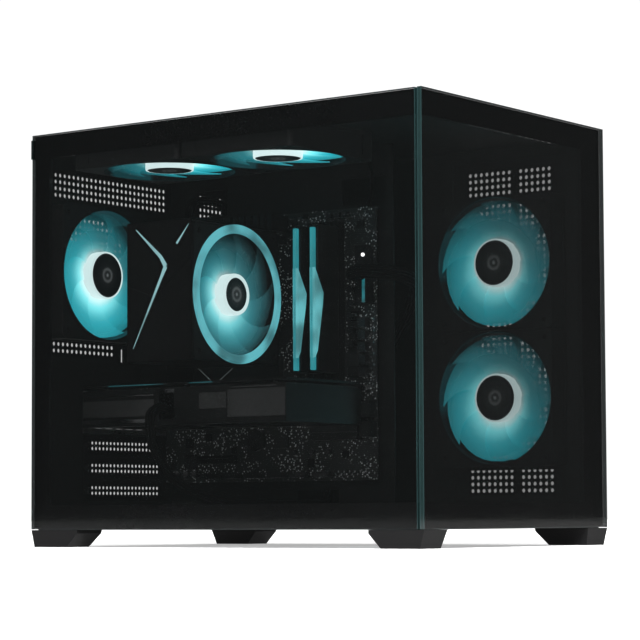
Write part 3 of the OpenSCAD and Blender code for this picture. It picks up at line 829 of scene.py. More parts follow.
class Facing(Enum):
    """The way a fan's or ring's own +Z looks: its axis in the frame, then the turn."""

    LEFT = (0, -math.pi / 2, "Y")
    FRONT = (1, math.pi / 2, "X")
    DOWN = (2, math.pi, "X")

    @property
    def along(self) -> int:
        """The number of the frame's axis."""
        return self.value[0]

    def at(self, spot: Point) -> Matrix:
        """Returns the matrix that puts a shape at a point of the frame, facing this way.

        Args:
            spot: The point, in millimetres.

        Returns:
            The matrix.
        """
        _, angle, axis = self.value
        return Matrix.Translation(Vector(spot)) @ Matrix.Rotation(angle, 4, axis)


class Plane(Enum):
    """The frame's axes that a flat sheet's own X, Y and thickness lie along."""

    XZ = (0, 2, 1)
    YZ = (1, 2, 0)

    def stood(self, at: float) -> Matrix:
        """Returns the matrix that stands a flat sheet up.

        Args:
            at: The coordinate of the sheet's low side along its thickness, in millimetres.

        Returns:
            The matrix.
        """
        rows = [[0.0] * 4 for _ in range(4)]
        for own, axis in enumerate(self.value):
            rows[axis][own] = 1.0
        rows[self.value[2]][3] = at
        rows[3][3] = 1.0
        return Matrix(rows)


@dataclass(frozen=True)
class Field:
    """A field of round punched holes, in a sheet's own two axes, in millimetres."""

    low: tuple[float, float]
    columns: int
    rows: int
    pitch: float = 6.0
    radius: float = 2.0
    keep: Callable[[float, float], bool] = lambda u, v: True

    @property
    def high(self) -> tuple[float, float]:
        """The field's high corner."""
        return (self.low[0] + self.columns * self.pitch, self.low[1] + self.rows * self.pitch)

    def punch(self) -> bmesh.types.BMesh:
        """Returns the punched field as a flat mesh."""
        bm = bmesh.new()
        bmesh.ops.create_grid(bm, x_segments=2 * self.columns, y_segments=2 * self.rows, size=0.5)
        bmesh.ops.translate(bm, vec=(0.5, 0.5, 0), verts=bm.verts[:])
        size = (self.columns * self.pitch, self.rows * self.pitch, 1)
        bmesh.ops.scale(bm, vec=size, verts=bm.verts[:])
        bmesh.ops.translate(bm, vec=(*self.low, 0), verts=bm.verts[:])
        half = self.pitch / 2
        centres = []
        for vert in bm.verts:
            u = (vert.co.x - self.low[0]) / half
            v = (vert.co.y - self.low[1]) / half
            if round(u) % 2 and round(v) % 2 and self.keep(vert.co.x, vert.co.y):
                centres.append(vert)
        hit = {(round(vert.co.x / half), round(vert.co.y / half)) for vert in centres}
        bmesh.ops.bevel(
            bm,
            geom=centres,
            offset=self.radius,
            segments=2,
            profile=ROUND,
            affect="VERTICES",
            material=-1,
        )
        doomed = []
        for face in bm.faces:
            middle = face.calc_center_median()
            u = self.low[0] + (math.floor((middle.x - self.low[0]) / self.pitch) + 0.5) * self.pitch
            v = self.low[1] + (math.floor((middle.y - self.low[1]) / self.pitch) + 0.5) * self.pitch
            near = math.hypot(middle.x - u, middle.y - v)
            if near < self.radius * 0.8 and (round(u / half), round(v / half)) in hit:
                doomed.append(face)
        bmesh.ops.delete(bm, geom=doomed, context="FACES")
        return bm


def sheet(
    outer: tuple[float, float, float, float],
    openings: Sequence[tuple[float, float, float, float]],
    fields: Sequence[Field],
    thickness: float,
) -> Shape:
    """Cuts a flat sheet with square openings and punched fields.

    Args:
        outer: Low u, low v, high u and high v of the sheet.
        openings: The same four numbers for each square opening.
        fields: The punched fields.
        thickness: The sheet's thickness.

    Returns:
        A closed shape lying from Z 0 to the thickness.
    """
    shape = Shape()
    bm = shape.bm
    bmesh.ops.create_grid(bm, x_segments=1, y_segments=1, size=0.5)
    bmesh.ops.translate(bm, vec=(0.5, 0.5, 0), verts=bm.verts[:])
    bmesh.ops.scale(bm, vec=(outer[2] - outer[0], outer[3] - outer[1], 1), verts=bm.verts[:])
    bmesh.ops.translate(bm, vec=(outer[0], outer[1], 0), verts=bm.verts[:])
    gaps = list(openings) + [(*f.low, *f.high) for f in fields]
    for axis, normal in ((0, (1, 0, 0)), (1, (0, 1, 0))):
        for cut in sorted({g[axis] for g in gaps} | {g[axis + 2] for g in gaps}):
            spot = (cut, 0, 0) if axis == 0 else (0, cut, 0)
            whole = bm.verts[:] + bm.edges[:] + bm.faces[:]
            bmesh.ops.bisect_plane(bm, geom=whole, plane_co=spot, plane_no=normal, dist=1e-5)
    doomed = []
    for face in bm.faces:
        c = face.calc_center_median()
        if any(g[0] < c.x < g[2] and g[1] < c.y < g[3] for g in gaps):
            doomed.append(face)
    bmesh.ops.delete(bm, geom=doomed, context="FACES")
    for part in fields:
        punched = part.punch()
        mesh = bpy.data.meshes.new("field")
        punched.to_mesh(mesh)
        punched.free()
        bm.from_mesh(mesh)
        bpy.data.meshes.remove(mesh)
    bmesh.ops.recalc_face_normals(bm, faces=bm.faces[:])
    if bm.faces and bm.faces[0].normal.z < 0:
        bmesh.ops.reverse_faces(bm, faces=bm.faces[:])
    bmesh.ops.solidify(bm, geom=bm.faces[:], thickness=thickness)
    low = min(v.co.z for v in bm.verts)
    bmesh.ops.translate(bm, vec=(0, 0, -low), verts=bm.verts[:])
    return shape


# ---------------------------------------------------------------- sub-assemblies


def sized(node: str) -> tuple[Vector, Vector]:
    """Returns a CAD node's two corners in millimetres."""
    low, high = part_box(node)
    return Vector(low) / MM, Vector(high) / MM


@dataclass
class Shell:
    """The punched sheet metal: rear wall, right panel, fan bracket and slot covers."""

    pitch: float = 6.0
    hole: float = 1.9
    steel: float = 1.0
    slot_pitch: float = 20.32
    slot_x: tuple[float, float] = (-66.0, 36.0)
    spare_slots: int = 3

    def rear_wall(self) -> None:
        """Punches the rear wall round its openings."""
        low, high = sized("rear_wall")
        fan_low, fan_high = sized("rear_fan_frame")
        port_low, port_high = sized("rear_ports")
        card_low, card_high = sized("card_bracket")
        slot_low, _ = sized("slot_covers")
        supply_low, supply_high = sized("power_supply_case")
        mid = (fan_low + fan_high) / 2
        bore = (fan_high.x - fan_low.x) / 2 - 3.5

        def inside(u: float, v: float) -> bool:
            """Returns whether a hole lies within the fan's circle."""
            return math.hypot(u - mid.x, v - mid.z) < bore

        p = self.pitch
        gap = 0.3
        openings = [
            (port_low.x - gap, port_low.z - gap, port_high.x + gap, port_high.z + gap),
            (supply_low.x + 3, supply_low.z + 3, supply_high.x - 3, supply_high.z - 3),
        ]
        left, right = self.slot_x
        for k in range(self.spare_slots):
            z = slot_low.z + self.slot_pitch * k
            openings.append((left, z, right, z + 13.0))
        openings.append((left, card_low.z + 2, right, card_high.z - 2))
        fields = [
            Field((-121.2, 313.2), 27, 4, p, self.hole),
            Field((54, 313.2), 12, 4, p, self.hole),
            Field((-130, 184.6), 20, 20, p, self.hole, keep=inside),
            Field((-117, 172.6), 14, 2, p, self.hole),
        ]
        openings.append((-23.5, 169, -21, 181))
        shape = sheet((low.x, low.z, high.x, high.z), openings, fields, self.steel)
        shape.move(Plane.XZ.stood(high.y - self.steel))
        shape.piece("rear_wall_punched", Black.POWDER, "case_steel", replaces=["rear_wall"])

    def right_panel(self) -> None:
        """Punches the right panel beside the side fans, with its folded edge at the back."""
        low, high = sized("right_panel")
        p = self.pitch
        fields = [
            Field((-118.5, 45.3), 8, 49, p, self.hole),
            Field((-160.7, 45.3), 6, 49, p, self.hole),
        ]
        supply = sized("power_supply_case")
        vent = Field((supply[0].y + 14, supply[0].z + 14), 18, 20, p, self.hole)
        shape = sheet((low.y, low.z, high.y - self.steel, high.z), [], [*fields, vent], self.steel)
        shape.move(Plane.YZ.stood(high.x - self.steel))
        shape.box((high.x - 11.0, high.y - self.steel, low.z), (high.x, high.y, high.z))
        name = "right_panel_punched"
        shape.piece(name, Black.POWDER, "frame_black", "right_cover", ["right_panel"])

    def bracket(self) -> None:
        """Opens the side fans' bracket round the bores and above and below them."""
        low, high = sized("side_fan_bracket")
        openings = []
        for node in ("side_upper_fan_frame", "side_lower_fan_frame"):
            fan_low, fan_high = sized(node)
            openings.append((fan_low.y + 4, fan_low.z + 4, fan_high.y - 4, fan_high.z - 4))
        first, second = (sized(n) for n in ("side_lower_fan_frame", "side_upper_fan_frame"))
        openings.append((low.y + 8, second[1].z + 3, high.y - 8, high.z - 12))
        openings.append((low.y + 8, low.z + 12, high.y - 8, first[0].z - 3))
        shape = sheet((low.y, low.z, high.y, high.z), openings, [], high.x - low.x)
        shape.move(Plane.YZ.stood(low.x))
        shape.piece("side_fan_bracket_open", Black.POWDER, "case_steel", replaces=["side_fan_bracket"])

    def covers(self) -> None:
        """Punches each spare slot cover with two rows of small holes."""
        low, high = sized("slot_covers")
        shape = Shape()
        for k in range(self.spare_slots):
            z = low.z + self.slot_pitch * k
            rows = Field((self.slot_x[0], z + 4.2), 19, 2, 5.03, 1.65)
            outer = (low.x + 1, max(low.z, z - 1.0), high.x - 1, min(high.z, z + 19.3))
            cover = sheet(outer, [], [rows], 0.9)
            cover.move(Plane.XZ.stood(high.y - 0.95))
            shape.add(cover)
        name = "slot_covers_punched"
        shape.piece(name, Black.SATIN, "bracket_steel", replaces=["slot_covers"])

    def build(self) -> None:
        """Makes every sheet."""
        self.rear_wall()
        self.right_panel()
        self.covers()
        self.bracket()


@dataclass
class Glazing:
    """The two glass panes and their printed bands."""

    sides: tuple[str, str] = ("side_glass", "front_glass")

    def build(self) -> None:
        """Gives the panes their glass and the frames their print."""
        for node in self.sides:
            low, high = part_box(node)
            paint(node, Pane(tuple(low), tuple(high)))
            paint(f"{node}_frame", Black.BAND)


@dataclass
class Fan:
    """A lit fan: frosted blades round a hub whose wall glows.

    The blades' rise and pitch are shares of the rotor's depth, and spill is the light on the bore.
    """

    node: str
    body: str
    facing: Facing
    power: float = 1.0
    lean: tuple[float, float] = (0.0, -1.0)
    blades: int = 9
    chord: float = 64.0
    sweep: float = 24.0
    hub: float = 21.6
    cap: float = 1.0
    glare: float = 1.0
    spread: float = 1.4
    spill: float = 0.22
    bore: float = 58.5
    rise: float = 0.50
    pitch: float = 0.44

    @property
    def frame_node(self) -> str:
        """The CAD node of the frame that the rotor turns in."""
        return self.node.replace("_rotor", "_frame")

    def base(self) -> Matrix:
        """Returns the matrix from the fan's own axes, Z up from the spokes, to the frame."""
        low, high = sized(self.node)
        spot = (low + high) / 2
        spot[self.facing.along] = high[self.facing.along]
        return self.facing.at(spot)

    def radius(self) -> float:
        """Returns the blade tips' radius."""
        low, high = sized(self.node)
        across = [k for k in range(3) if k != self.facing.along]
        return min((high[k] - low[k]) / 2 for k in across) - 0.2

    def swept(self, hub: float, tip: float, depth: float) -> Shape:
        """Makes one blade, swept forwards and pitched.

        Args:
            hub: Radius where it starts.
            tip: Radius where it ends.
            depth: Its height along the axis.

        Returns:
            The blade.
        """
        blade = Shape()
        bm = blade.bm
        root = 0.4
        bmesh.ops.create_grid(bm, x_segments=7, y_segments=6, size=0.5)
        for vert in bm.verts:
            out = vert.co.x + 0.5
            turn = vert.co.y
            r = hub - root + (tip - hub + root) * out
            angle = turn * math.radians(self.chord) + math.radians(self.sweep) * out * out
            height = depth * (self.rise + 0.20 * out + turn * (0.10 + self.pitch * out))
            height -= 0.6 * math.cos(turn * math.pi)
            vert.co = (r * math.cos(angle), r * math.sin(angle), height)
        bmesh.ops.solidify(bm, geom=bm.faces[:], thickness=0.9)
        return blade

    def build(self) -> None:
        """Makes the blades and the hub's wall, rim and cap, and lights the frame's bore."""
        low, high = sized(self.node)
        mid = (low + high) / 2
        along = self.facing.along
        tip = self.radius()
        depth = high[along] - low[along]
        hub = self.hub
        base = self.base()
        blades = self.swept(hub, tip, depth - 1.6)
        blades.move(Matrix.Translation((0, 0, 0.6)))
        turns = (math.tau * k / self.blades for k in range(self.blades))
        blades.copies(Matrix.Rotation(turn, 4, "Z") for turn in turns)
        centre = tuple(mid * MM)
        glow = BladeGlow(centre, along, hub * MM, tip * MM, self.power, self.lean, self.spread)
        slot = "fan_blade"
        name = self.node
        blades.move(base).piece(f"{name}_blades", glow, slot, self.body, smooth=True)
        if self.spill:
            paint(self.frame_node, LitFrame(centre, along, self.bore * MM, self.spill))
        wall = Shape()
        top = depth - 1.6
        wall.turned([(hub - 2.0, 0.4), (hub - 0.3, 0.4), (hub, 1.2), (hub, top), (hub - 2.0, top)])
        halo = Light("hub_wall", tuple(c * 1.3 * self.glare for c in ICE), 1.0, 0.1)
        wall.move(base).piece(f"{name}_wall", halo, slot, self.body, smooth=True)
        r = (hub - 1.5) * self.cap
        bevelled = [(r, depth - 3), (hub, depth - 1.7), (hub - 0.3, depth - 0.3), (r, depth - 0.1)]
        rim = Shape().turned(bevelled)
        rim.move(base).piece(f"{name}_rim", halo, slot, self.body, smooth=True)
        cap = Shape()
        lip = (r - 0.9, depth - 0.05)
        cap.turned([(0.0, depth - 3), (r, depth - 3), (r, depth - 0.9), lip, (0.0, depth)], closed=False)
        cap.add(Shape().rod((0, 0, 0.0), (0, 0, depth - 2.9), 3.2))
        cap.move(base)
        face = HubCap(centre, along)
        cap.piece(f"{name}_cap", face, "fan_frame", self.body, [self.node], smooth=True)


@dataclass
class Cooler:
    """The processor cooler: shaped cover with light lines, glowing ring and folded fins.

    A line's points are Y, Z and its width there, in millimetres.
    """

    chevron: Sequence[Point] = (
        (112.4, 277.6, 0.8), (84.0, 252.0, 3.4), (78.5, 243.5, 4.4), (83.5, 234.0, 3.0),
        (115.6, 173.0, 0.6),
    )
    stroke: Sequence[Point] = ((66.0, 262.5, 2.2), (52.2, 279.0, 0.5))
    ring_radius: float = 61.6
    ring_bore: float = 53.6
    fin_count: int = 46
    fin: float = 0.5

    def build(self) -> None:
        """Makes the cover, its lines, the ring and the fins."""
        self.cover()
        self.lines()
        self.ring()
        self.fins()

    def cover(self) -> None:
        """Makes the cover: a plate with two raised fields and a slanting valley between them."""
        low, high = sized("cooler_cover")
        face, bottom, top = low.x, low.z, high.z
        near, far, middle = low.y + 1, high.y - 1, (low.y + high.y) / 2 + 4
        cover = Shape()
        cover.box((face + 1.0, low.y, bottom), (face + 2.4, high.y, top), 0.4)
        upper = [(near, top - 1), (far, top - 1), (far, 232), (middle, 220), (near, 250)]
        lower = [(near, bottom + 1), (far, bottom + 1), (far, 228), (middle, 217), (near, 247)]
        for points in (upper, lower):
            cover.add(Shape().outline(points, 1.0).move(Plane.YZ.stood(face + 0.2)))
        for z in (bottom, top - 2.0):
            cover.box((face + 1.0, low.y, z), (high.x, high.y, z + 2.0), 0.4)
        cover.piece("cooler_cover_body", Black.SATIN, "cover_black", replaces=["cooler_cover"])

    def lines(self) -> None:
        """Makes the light lines as flattened rods that taper along their way."""
        low, _ = sized("cooler_cover")
        lines = Shape()
        for route in (self.chevron, self.stroke):
            for (y0, z0, w0), (y1, z1, w1) in zip(route, route[1:]):
                lines.rod((0, y0, z0), (0, y1, z1), w0 * 0.5, 10, w1 * 0.5)
        flatten = Matrix.Diagonal((0.12, 1, 1, 1))
        lines.move(Matrix.Translation((low.x + 0.2, 0, 0)) @ flatten)
        glow = Light("cover_line", (0.45, 0.85, 0.90), 0.85, 0.35)
        lines.piece("cooler_cover_lines", glow, "cover_black")

    def ring(self) -> None:
        """Adds the glowing ring at the fan's mouth."""
        low, high = sized("cooler_fan_frame")
        mid = (low + high) / 2
        outer, bore = self.ring_radius, self.ring_bore
        foot = [(bore, 0.0), (outer, 0.0), (outer, 1.4)]
        ring = Shape().turned([*foot, (outer - 1.6, 2.6), (bore + 1.8, 2.6), (bore, 1.2)], 72)
        ring.move(Facing.FRONT.at((mid.x, low.y, mid.z)))
        glow = Light("fan_ring", (0.16, 0.66, 0.74), 1.0, 0.75, 24.0)
        ring.piece("cooler_fan_ring", glow, "fan_blade", smooth=True)

    def fins(self) -> None:
        """Replaces the coarse fin stack by thin folded fins."""
        low, high = sized("cooler_fins")
        step = (high.x - low.x - self.fin) / (self.fin_count - 1)
        fins = Shape().box(low, (low.x + self.fin, high.y, high.z))
        fins.copies(Matrix.Translation((step * k, 0, 0)) for k in range(self.fin_count))
        fins.piece("cooler_fin_stack", Metal.FIN, "fin_aluminium", replaces=["cooler_fins"])


@dataclass
class Memory:
    """The two memory sticks with a diffuser along the outer edge and a faceted wing."""

    sticks: tuple[str, str] = ("memory_stick_1", "memory_stick_2")
    shell: float = 3.6
    board: float = 0.6
    back: float = 31.5
    contacts: int = 150
    wing: Sequence[tuple[float, float]] = ((0.0, 166), (0.0, 246), (12.5, 224), (11.5, 214), (3.6, 172))

    def build(self) -> None:
        """Builds both sticks."""
        for node in self.sticks:
            low, high = sized(node)
            mid = (low.y + high.y) / 2
            self.spreader(node, low, high, mid)
            self.circuit(node, low, high, mid)
            self.lights(node, low, high, mid)

    def spreader(self, node: str, low: Vector, high: Vector, mid: float) -> None:
        """Makes a stick's two ribbed metal halves.

        Args:
            node: The stick's CAD node.
            low: Its low corner.
            high: Its high corner.
            mid: The middle of its thickness, along Y.
        """
        stick = Shape()
        for y in (mid - self.shell, mid + 0.7):
            stick.box((low.x + 4.5, y, low.z + 1), (self.back, y + self.shell - 0.7, high.z - 1), 0.4)
        for k in range(9):
            z = low.z + 12 + k * 13
            stick.box((low.x + 12, mid - self.shell, z), (27, mid + self.shell, z + 9), 0.3)
        stick.piece(f"{node}_spreader", Black.ANODISED, "memory_shell", replaces=[node])

    def circuit(self, node: str, low: Vector, high: Vector, mid: float) -> None:
        """Makes a stick's board and its gold contacts.

        Args:
            node: The stick's CAD node.
            low: Its low corner.
            high: Its high corner.
            mid: The middle of its thickness, along Y.
        """
        half = self.board
        board = Shape().box((low.x + 6, mid - half, low.z + 0.5), (high.x, mid + half, high.z - 0.5))
        board.piece(f"{node}_board", Laminate("memory_board", 0), "board_fibre")
        half += 0.08
        first = (high.x - 4.2, mid - half, low.z + 3), (high.x - 0.9, mid + half, low.z + 3.5)
        contacts = Shape().box(*first)
        contacts.copies(Matrix.Translation((0, 0, 0.85 * k)) for k in range(self.contacts))
        contacts.piece(f"{node}_contacts", Metal.GOLD, "board_fibre")

    def lights(self, node: str, low: Vector, high: Vector, mid: float) -> None:
        """Makes a stick's glowing bar and wing.

        Args:
            node: The stick's CAD node.
            low: Its low corner.
            high: Its high corner.
            mid: The middle of its thickness, along Y.
        """
        bar = Shape().box((low.x, mid - 1.5, low.z + 2.5), (low.x + 4.6, mid + 2.1, high.z - 3.7), 0.5)
        glow = Light("memory_bar", (0.03, 0.40, 0.46), 0.9, 0.35, 25.0)
        bar.piece(f"{node}_bar", glow, "memory_shell")
        wing = Shape().outline([(low.x + x, z) for x, z in self.wing], 6.0)
        wing.move(Plane.XZ.stood(mid - 3.9))
        glow = Light("memory_wing", (0.18, 0.70, 0.76), 1.0, 0.55, 28.0)
        wing.piece(f"{node}_wing", glow, "memory_shell")


@dataclass
class Board:
    """The motherboard: laminate, small parts, chokes and lit points.

    A chip, and a header, is its low Y and Z, then its width and height. A can is its Y and Z.
    """

    chip_places: Sequence[Point] = (
        (-20, 200, 9, 9), (-22, 182, 6, 6), (-20, 150, 12, 10), (-8, 78, 7, 7), (30, 70, 8, 8),
        (150, 96, 7, 7), (44, 150, 6, 6), (-26, 284, 8, 6), (36, 296, 6, 5), (172, 90, 9, 9),
        (192, 70, 7, 7), (120, 84, 6, 6),
    )
    can_places: Sequence[Point] = (
        (-28, 140), (-28, 126), (-28, 112), (26, 148), (34, 148), (166, 66), (176, 66), (186, 66),
    )
    header_places: Sequence[Point] = (
        (164, 148, 9, 12), (150, 166.5, 8, 2), (176, 150, 2, 9), (112, 165, 6, 3), (186, 158, 6, 6),
        (104, 148, 3, 8),
    )
    chevron: Sequence[tuple[Point, Point]] = (
        ((159, 164), (141.5, 150)), ((135.8, 150.4), (118.5, 162.4)),
    )

    def build(self) -> None:
        """Prints the board and sets its parts in ordered banks."""
        # the board's traces and pads glow faintly, a painted highlight
        paint("motherboard", Laminate(pads=0.50, painted_shine=0.22))
        low, high = sized("motherboard")
        self.chips(low.x)
        self.banks(low, high)
        self.lights()
        self.headers(low.x)
        self.edge_light()

    def chips(self, face: float) -> None:
        """Adds square chips and electrolytic cans.

        Args:
            face: The board's face, along X.
        """
        chips = Shape()
        for y, z, w, h in self.chip_places:
            chips.box((face - 1.4, y, z), (face, y + w, z + h), 0.25)
        chips.piece("board_chips", Black.MATTE, "socket_plastic")
        cans = Shape()
        for y, z in self.can_places:
            cans.rod((face, y, z), (face - 7.5, y, z), 3.0, 20)
        cans.piece("board_cans", Metal.NICKEL, "part_metal", smooth=True)

    def banks(self, low: Vector, high: Vector) -> None:
        """Adds rows of small soldered parts along the board's edges.

        Args:
            low: The board's low corner.
            high: The board's high corner.
        """
        bank = Shape().box((low.x - 0.9, 0, 0), (low.x, 0.9, 1.7))
        spots = []
        for k in range(34):
            spots.append((-36.5 + (k % 3) * 1.6, 88 + k * 3.4))
            spots.append((28.0 + (k % 2) * 1.8, 160 + k * 3.4))
        for k in range(60):
            spots.append((-34 + k * 3.0, 291.5 + (k % 3) * 2.6))
            spots.append((-30 + k * 3.0, 62.5 + (k % 2) * 2.4))
        for k in range(26):
            spots.append((-10 + k * 2.4, 136 + (k % 4) * 2.5))
        inside = [
            (y, z) for y, z in spots if low.y + 1 < y < high.y - 3 and low.z + 1 < z < high.z - 3
        ]
        bank.copies(Matrix.Translation((0, y, z)) for y, z in inside)
        bank.piece("board_small_parts", Metal.SOLDER, "part_metal")

    def lights(self) -> None:
        """Adds the indicator, and the heatsink's chevron as a faint grey glow, a painted highlight."""
        lamp = Shape().rod((28.0, -33.5, 257.5), (27.0, -33.5, 257.5), 1.6, 12)
        lamp.piece("board_indicator", Light("indicator", (1.0, 1.0, 1.0), 3.0, 0.0), "part_metal")
        # painted highlight: the chevron's trim glows faint grey
        chevron = Shape()
        for start, end in self.chevron:
            chevron.rod((31.9, *start), (31.9, *end), 0.35, 8)
        glow = Light("chevron_line", (0.30, 0.34, 0.34), 0.5, 0.5, 60.0)
        chevron.piece("board_chevron", glow, "part_metal")
    def edge_light(self) -> None:
        """Adds the faint strip of light near the board's front edge."""
        strip = Shape().box((27.2, -35.4, 215), (28.0, -32.4, 236), 0.3)
        strip.piece("board_edge_light", Light("edge_light", TEAL, 0.6, 0.5, 120.0), "part_metal")

    def headers(self, face: float) -> None:
        """Adds the bright wire frames of the headers above the card.

        Args:
            face: The board's face, along X.
        """
        wire = 0.8
        headers = Shape()
        for y, z, w, h in self.header_places:
            for side in (y, y + w - wire):
                headers.box((face - 5.5, side, z), (face - 5.5 + wire, side + wire, z + h), 0.2)
            headers.box((face - 5.4, y, z + h - 0.7), (face - 4.8, y + w, z + h), 0.2)
        headers.piece("board_headers", Metal.SOLDER, "part_metal")


@dataclass
class Card:
    """The side of the graphics card: facets, bright rims and silver trim.

    A bar is its low Y and Z, then its high Y and Z, in millimetres. A rim is its two ends along Y.
    """

    rear_part: float = 118.0
    rims: Sequence[Point] = ((108, 172), (52, 78))
    strokes: Sequence[Point] = ((118, 133.5, 196, 134.5), (-20, 137.6, 30, 138.2))

    def bars(
        self, name: str, finish: object, x: Point, places: Sequence[Point], round_off: float = 0.0
    ) -> None:
        """Makes a piece of bars that stand a little proud of the card.

        Args:
            name: The piece's name.
            finish: Its finish.
            x: The bars' outer and inner face, along X.
            places: The bars.
            round_off: The width of their bevel.
        """
        shape = Shape()
        for y0, z0, y1, z1 in places:
            shape.box((x[0], y0, z0), (x[1], y1, z1), round_off)
        shape.piece(name, finish, "card_black")

    def build(self) -> None:
        """Dresses the card's side."""
        low, high = sized("card_shroud")
        face, rear = low.x, self.rear_part
        trim = [(rear, 109.5, high.y - 0.5, 113.2)]
        self.bars("card_trim", Metal.NICKEL, (face - 0.5, face + 0.9), trim, 0.3)
        panels = [(rear, 115.5, high.y - 1, 130), (low.y + 1, 112, 34, 136), (36, 120, 66, 134)]
        self.bars("card_panels", Black.PANEL, (face - 0.4, face + 0.8), panels, 0.35)
        back, top = sized("card_backplate")
        rims = [(y0, top.z - 1.6, y1, top.z - 0.9) for y0, y1 in self.rims]
        glow = Light("card_rim", TEAL, 0.35, 0.5, 30.0)
        self.bars("card_rim_light", glow, (back.x - 0.4, back.x + 0.7), rims)
        self.bars("card_strokes", Metal.NICKEL, (face - 0.6, face + 0.7), self.strokes)


@dataclass(frozen=True)
class Lead:
    """A power lead: the CAD cable it stands for, its route and its separate wires.

    The wires, each of a radius, lie side by side on a circle round the route.
    """

    node: str
    route: Sequence[Point]
    wires: int
    radius: float
    circle: float
    steps: int = 6

    def line(self) -> list[Vector]:
        """Returns the route as a smooth line through its points."""
        knots = [Vector(point) for point in self.route]
        ends = [2 * knots[0] - knots[1], *knots, 2 * knots[-1] - knots[-2]]
        line = []
        for a, b, c, d in zip(ends, ends[1:], ends[2:], ends[3:]):
            for step in range(self.steps):
                t = step / self.steps
                square = (2 * a - 5 * b + 4 * c - d) * t * t
                cube = (3 * b - a - 3 * c + d) * t**3
                line.append(0.5 * (2 * b + (c - a) * t + square + cube))
        return [*line, knots[-1]]

    def build(self) -> None:
        """Runs the wires side by side along the line."""
        line = self.line()
        turns = [math.tau * n / self.wires for n in range(self.wires)]
        side = (line[1] - line[0]).orthogonal().normalized()
        rings = []
        for k, spot in enumerate(line):
            ahead = (line[min(k + 1, len(line) - 1)] - line[max(k - 1, 0)]).normalized()
            side = (side - ahead * side.dot(ahead)).normalized()
            other = ahead.cross(side)
            rings.append(
                [spot + (side * math.cos(a) + other * math.sin(a)) * self.circle for a in turns]
            )
        shape = Shape()
        for first, second in zip(rings, rings[1:]):
            for start, end in zip(first, second):
                reach = (end - start) * 0.04
                shape.rod(start - reach, end + reach, self.radius, 7)
        name, sleeve = f"{self.node}_wires", Black.SLEEVE
        shape.piece(name, sleeve, "cable_sleeve", replaces=[self.node], smooth=True)


def paint(node: str, finish: object) -> None:
    """Gives a CAD node a material.

    Args:
        node: The CAD node's name.
        finish: A finish, an Enum of one, or a material.
    """
    target = bpy.data.objects[node]
    target.data.materials.clear()
    target.data.materials.append(material_of(finish))


# the CAD nodes that stay visible, and their finishes
PAINT: dict[str, object] = {
    "chassis_floor": Black.POWDER,
    "top_frame": Black.POWDER,
    "motherboard_tray": Black.POWDER,
    "front_right_pillar": Black.POWDER,
    "machine_screws": Black.ZINC,
    "feet": Black.MATTE,
    "thumbscrews": Black.ZINC,
    "top_filter": Black.MATTE,
    "control_module": Black.MATTE,
    "power_button": Black.SATIN,
    "light_button": Black.SATIN,
    "board_sockets": Black.MATTE,
    "board_components": Black.ZINC,
    "board_heatsinks": Black.ANODISED,
    "rear_ports": Metal.PORT,
    "port_cover": Black.SATIN,
    "processor": Metal.NICKEL,
    "cooler_heatpipes": Metal.NICKEL,
    "card_board": Laminate("card_board", 1),
    "card_heatsink": Metal.FIN,
    "card_shroud": Black.CARD,
    "card_backplate": Black.CARD,
    "card_bracket": Metal.STEEL,
    "card_fan_rear": Black.SATIN,
    "card_fan_front": Black.SATIN,
    "power_supply_case": Black.POWDER,
    "power_supply_fan": Black.SATIN,
    "power_supply_switch": Black.MATTE,
    "power_inlet": Black.MATTE,
    "solid_state_drive": Black.ANODISED,
    "drive_bracket": Black.POWDER,
}


# each route is the CAD cable's own, in millimetres
LEADS: tuple[Lead, ...] = (
    Lead("card_power_cable", (
        (-84, 102, 121), (-94, 102, 121), (-104, 101, 115), (-108, 98, 102), (-106, 94, 84),
        (-92, 84, 58), (-60, 66, 40), (-16, 48, 36), (24, 38, 36), (58, 34, 38), (76, 42, 48),
        (82, 54, 57), (82, 66, 57),
    ), 8, 1.25, 3.3),
    Lead("main_power_cable", (
        (28, -30, 240), (18, -30, 240), (9, -38, 240), (6, -52, 240), (14, -68, 239), (34, -76, 236),
        (58, -70, 226), (72, -44, 196), (80, -4, 150), (88, 36, 116), (92, 54, 105), (92, 66, 105),
    ), 12, 1.25, 5.2),
    Lead("cpu_power_cable", (
        (31.5, 154, 294), (22, 154, 294), (14, 154, 302), (16, 154, 314), (28, 154, 320), (58, 154, 320),
        (68, 148, 304), (76, 120, 240), (100, 72, 200), (116, 46, 170), (118, 44, 146), (116, 54, 131),
        (116, 66, 131),
    ), 8, 1.1, 3.0),
    Lead("fan_cables", (
        (-9, -40, 346), (6, -40, 349), (24, -38, 347), (40, -34, 336), (46, -30, 318), (46, -26, 303),
    ), 3, 0.7, 0.9),
)


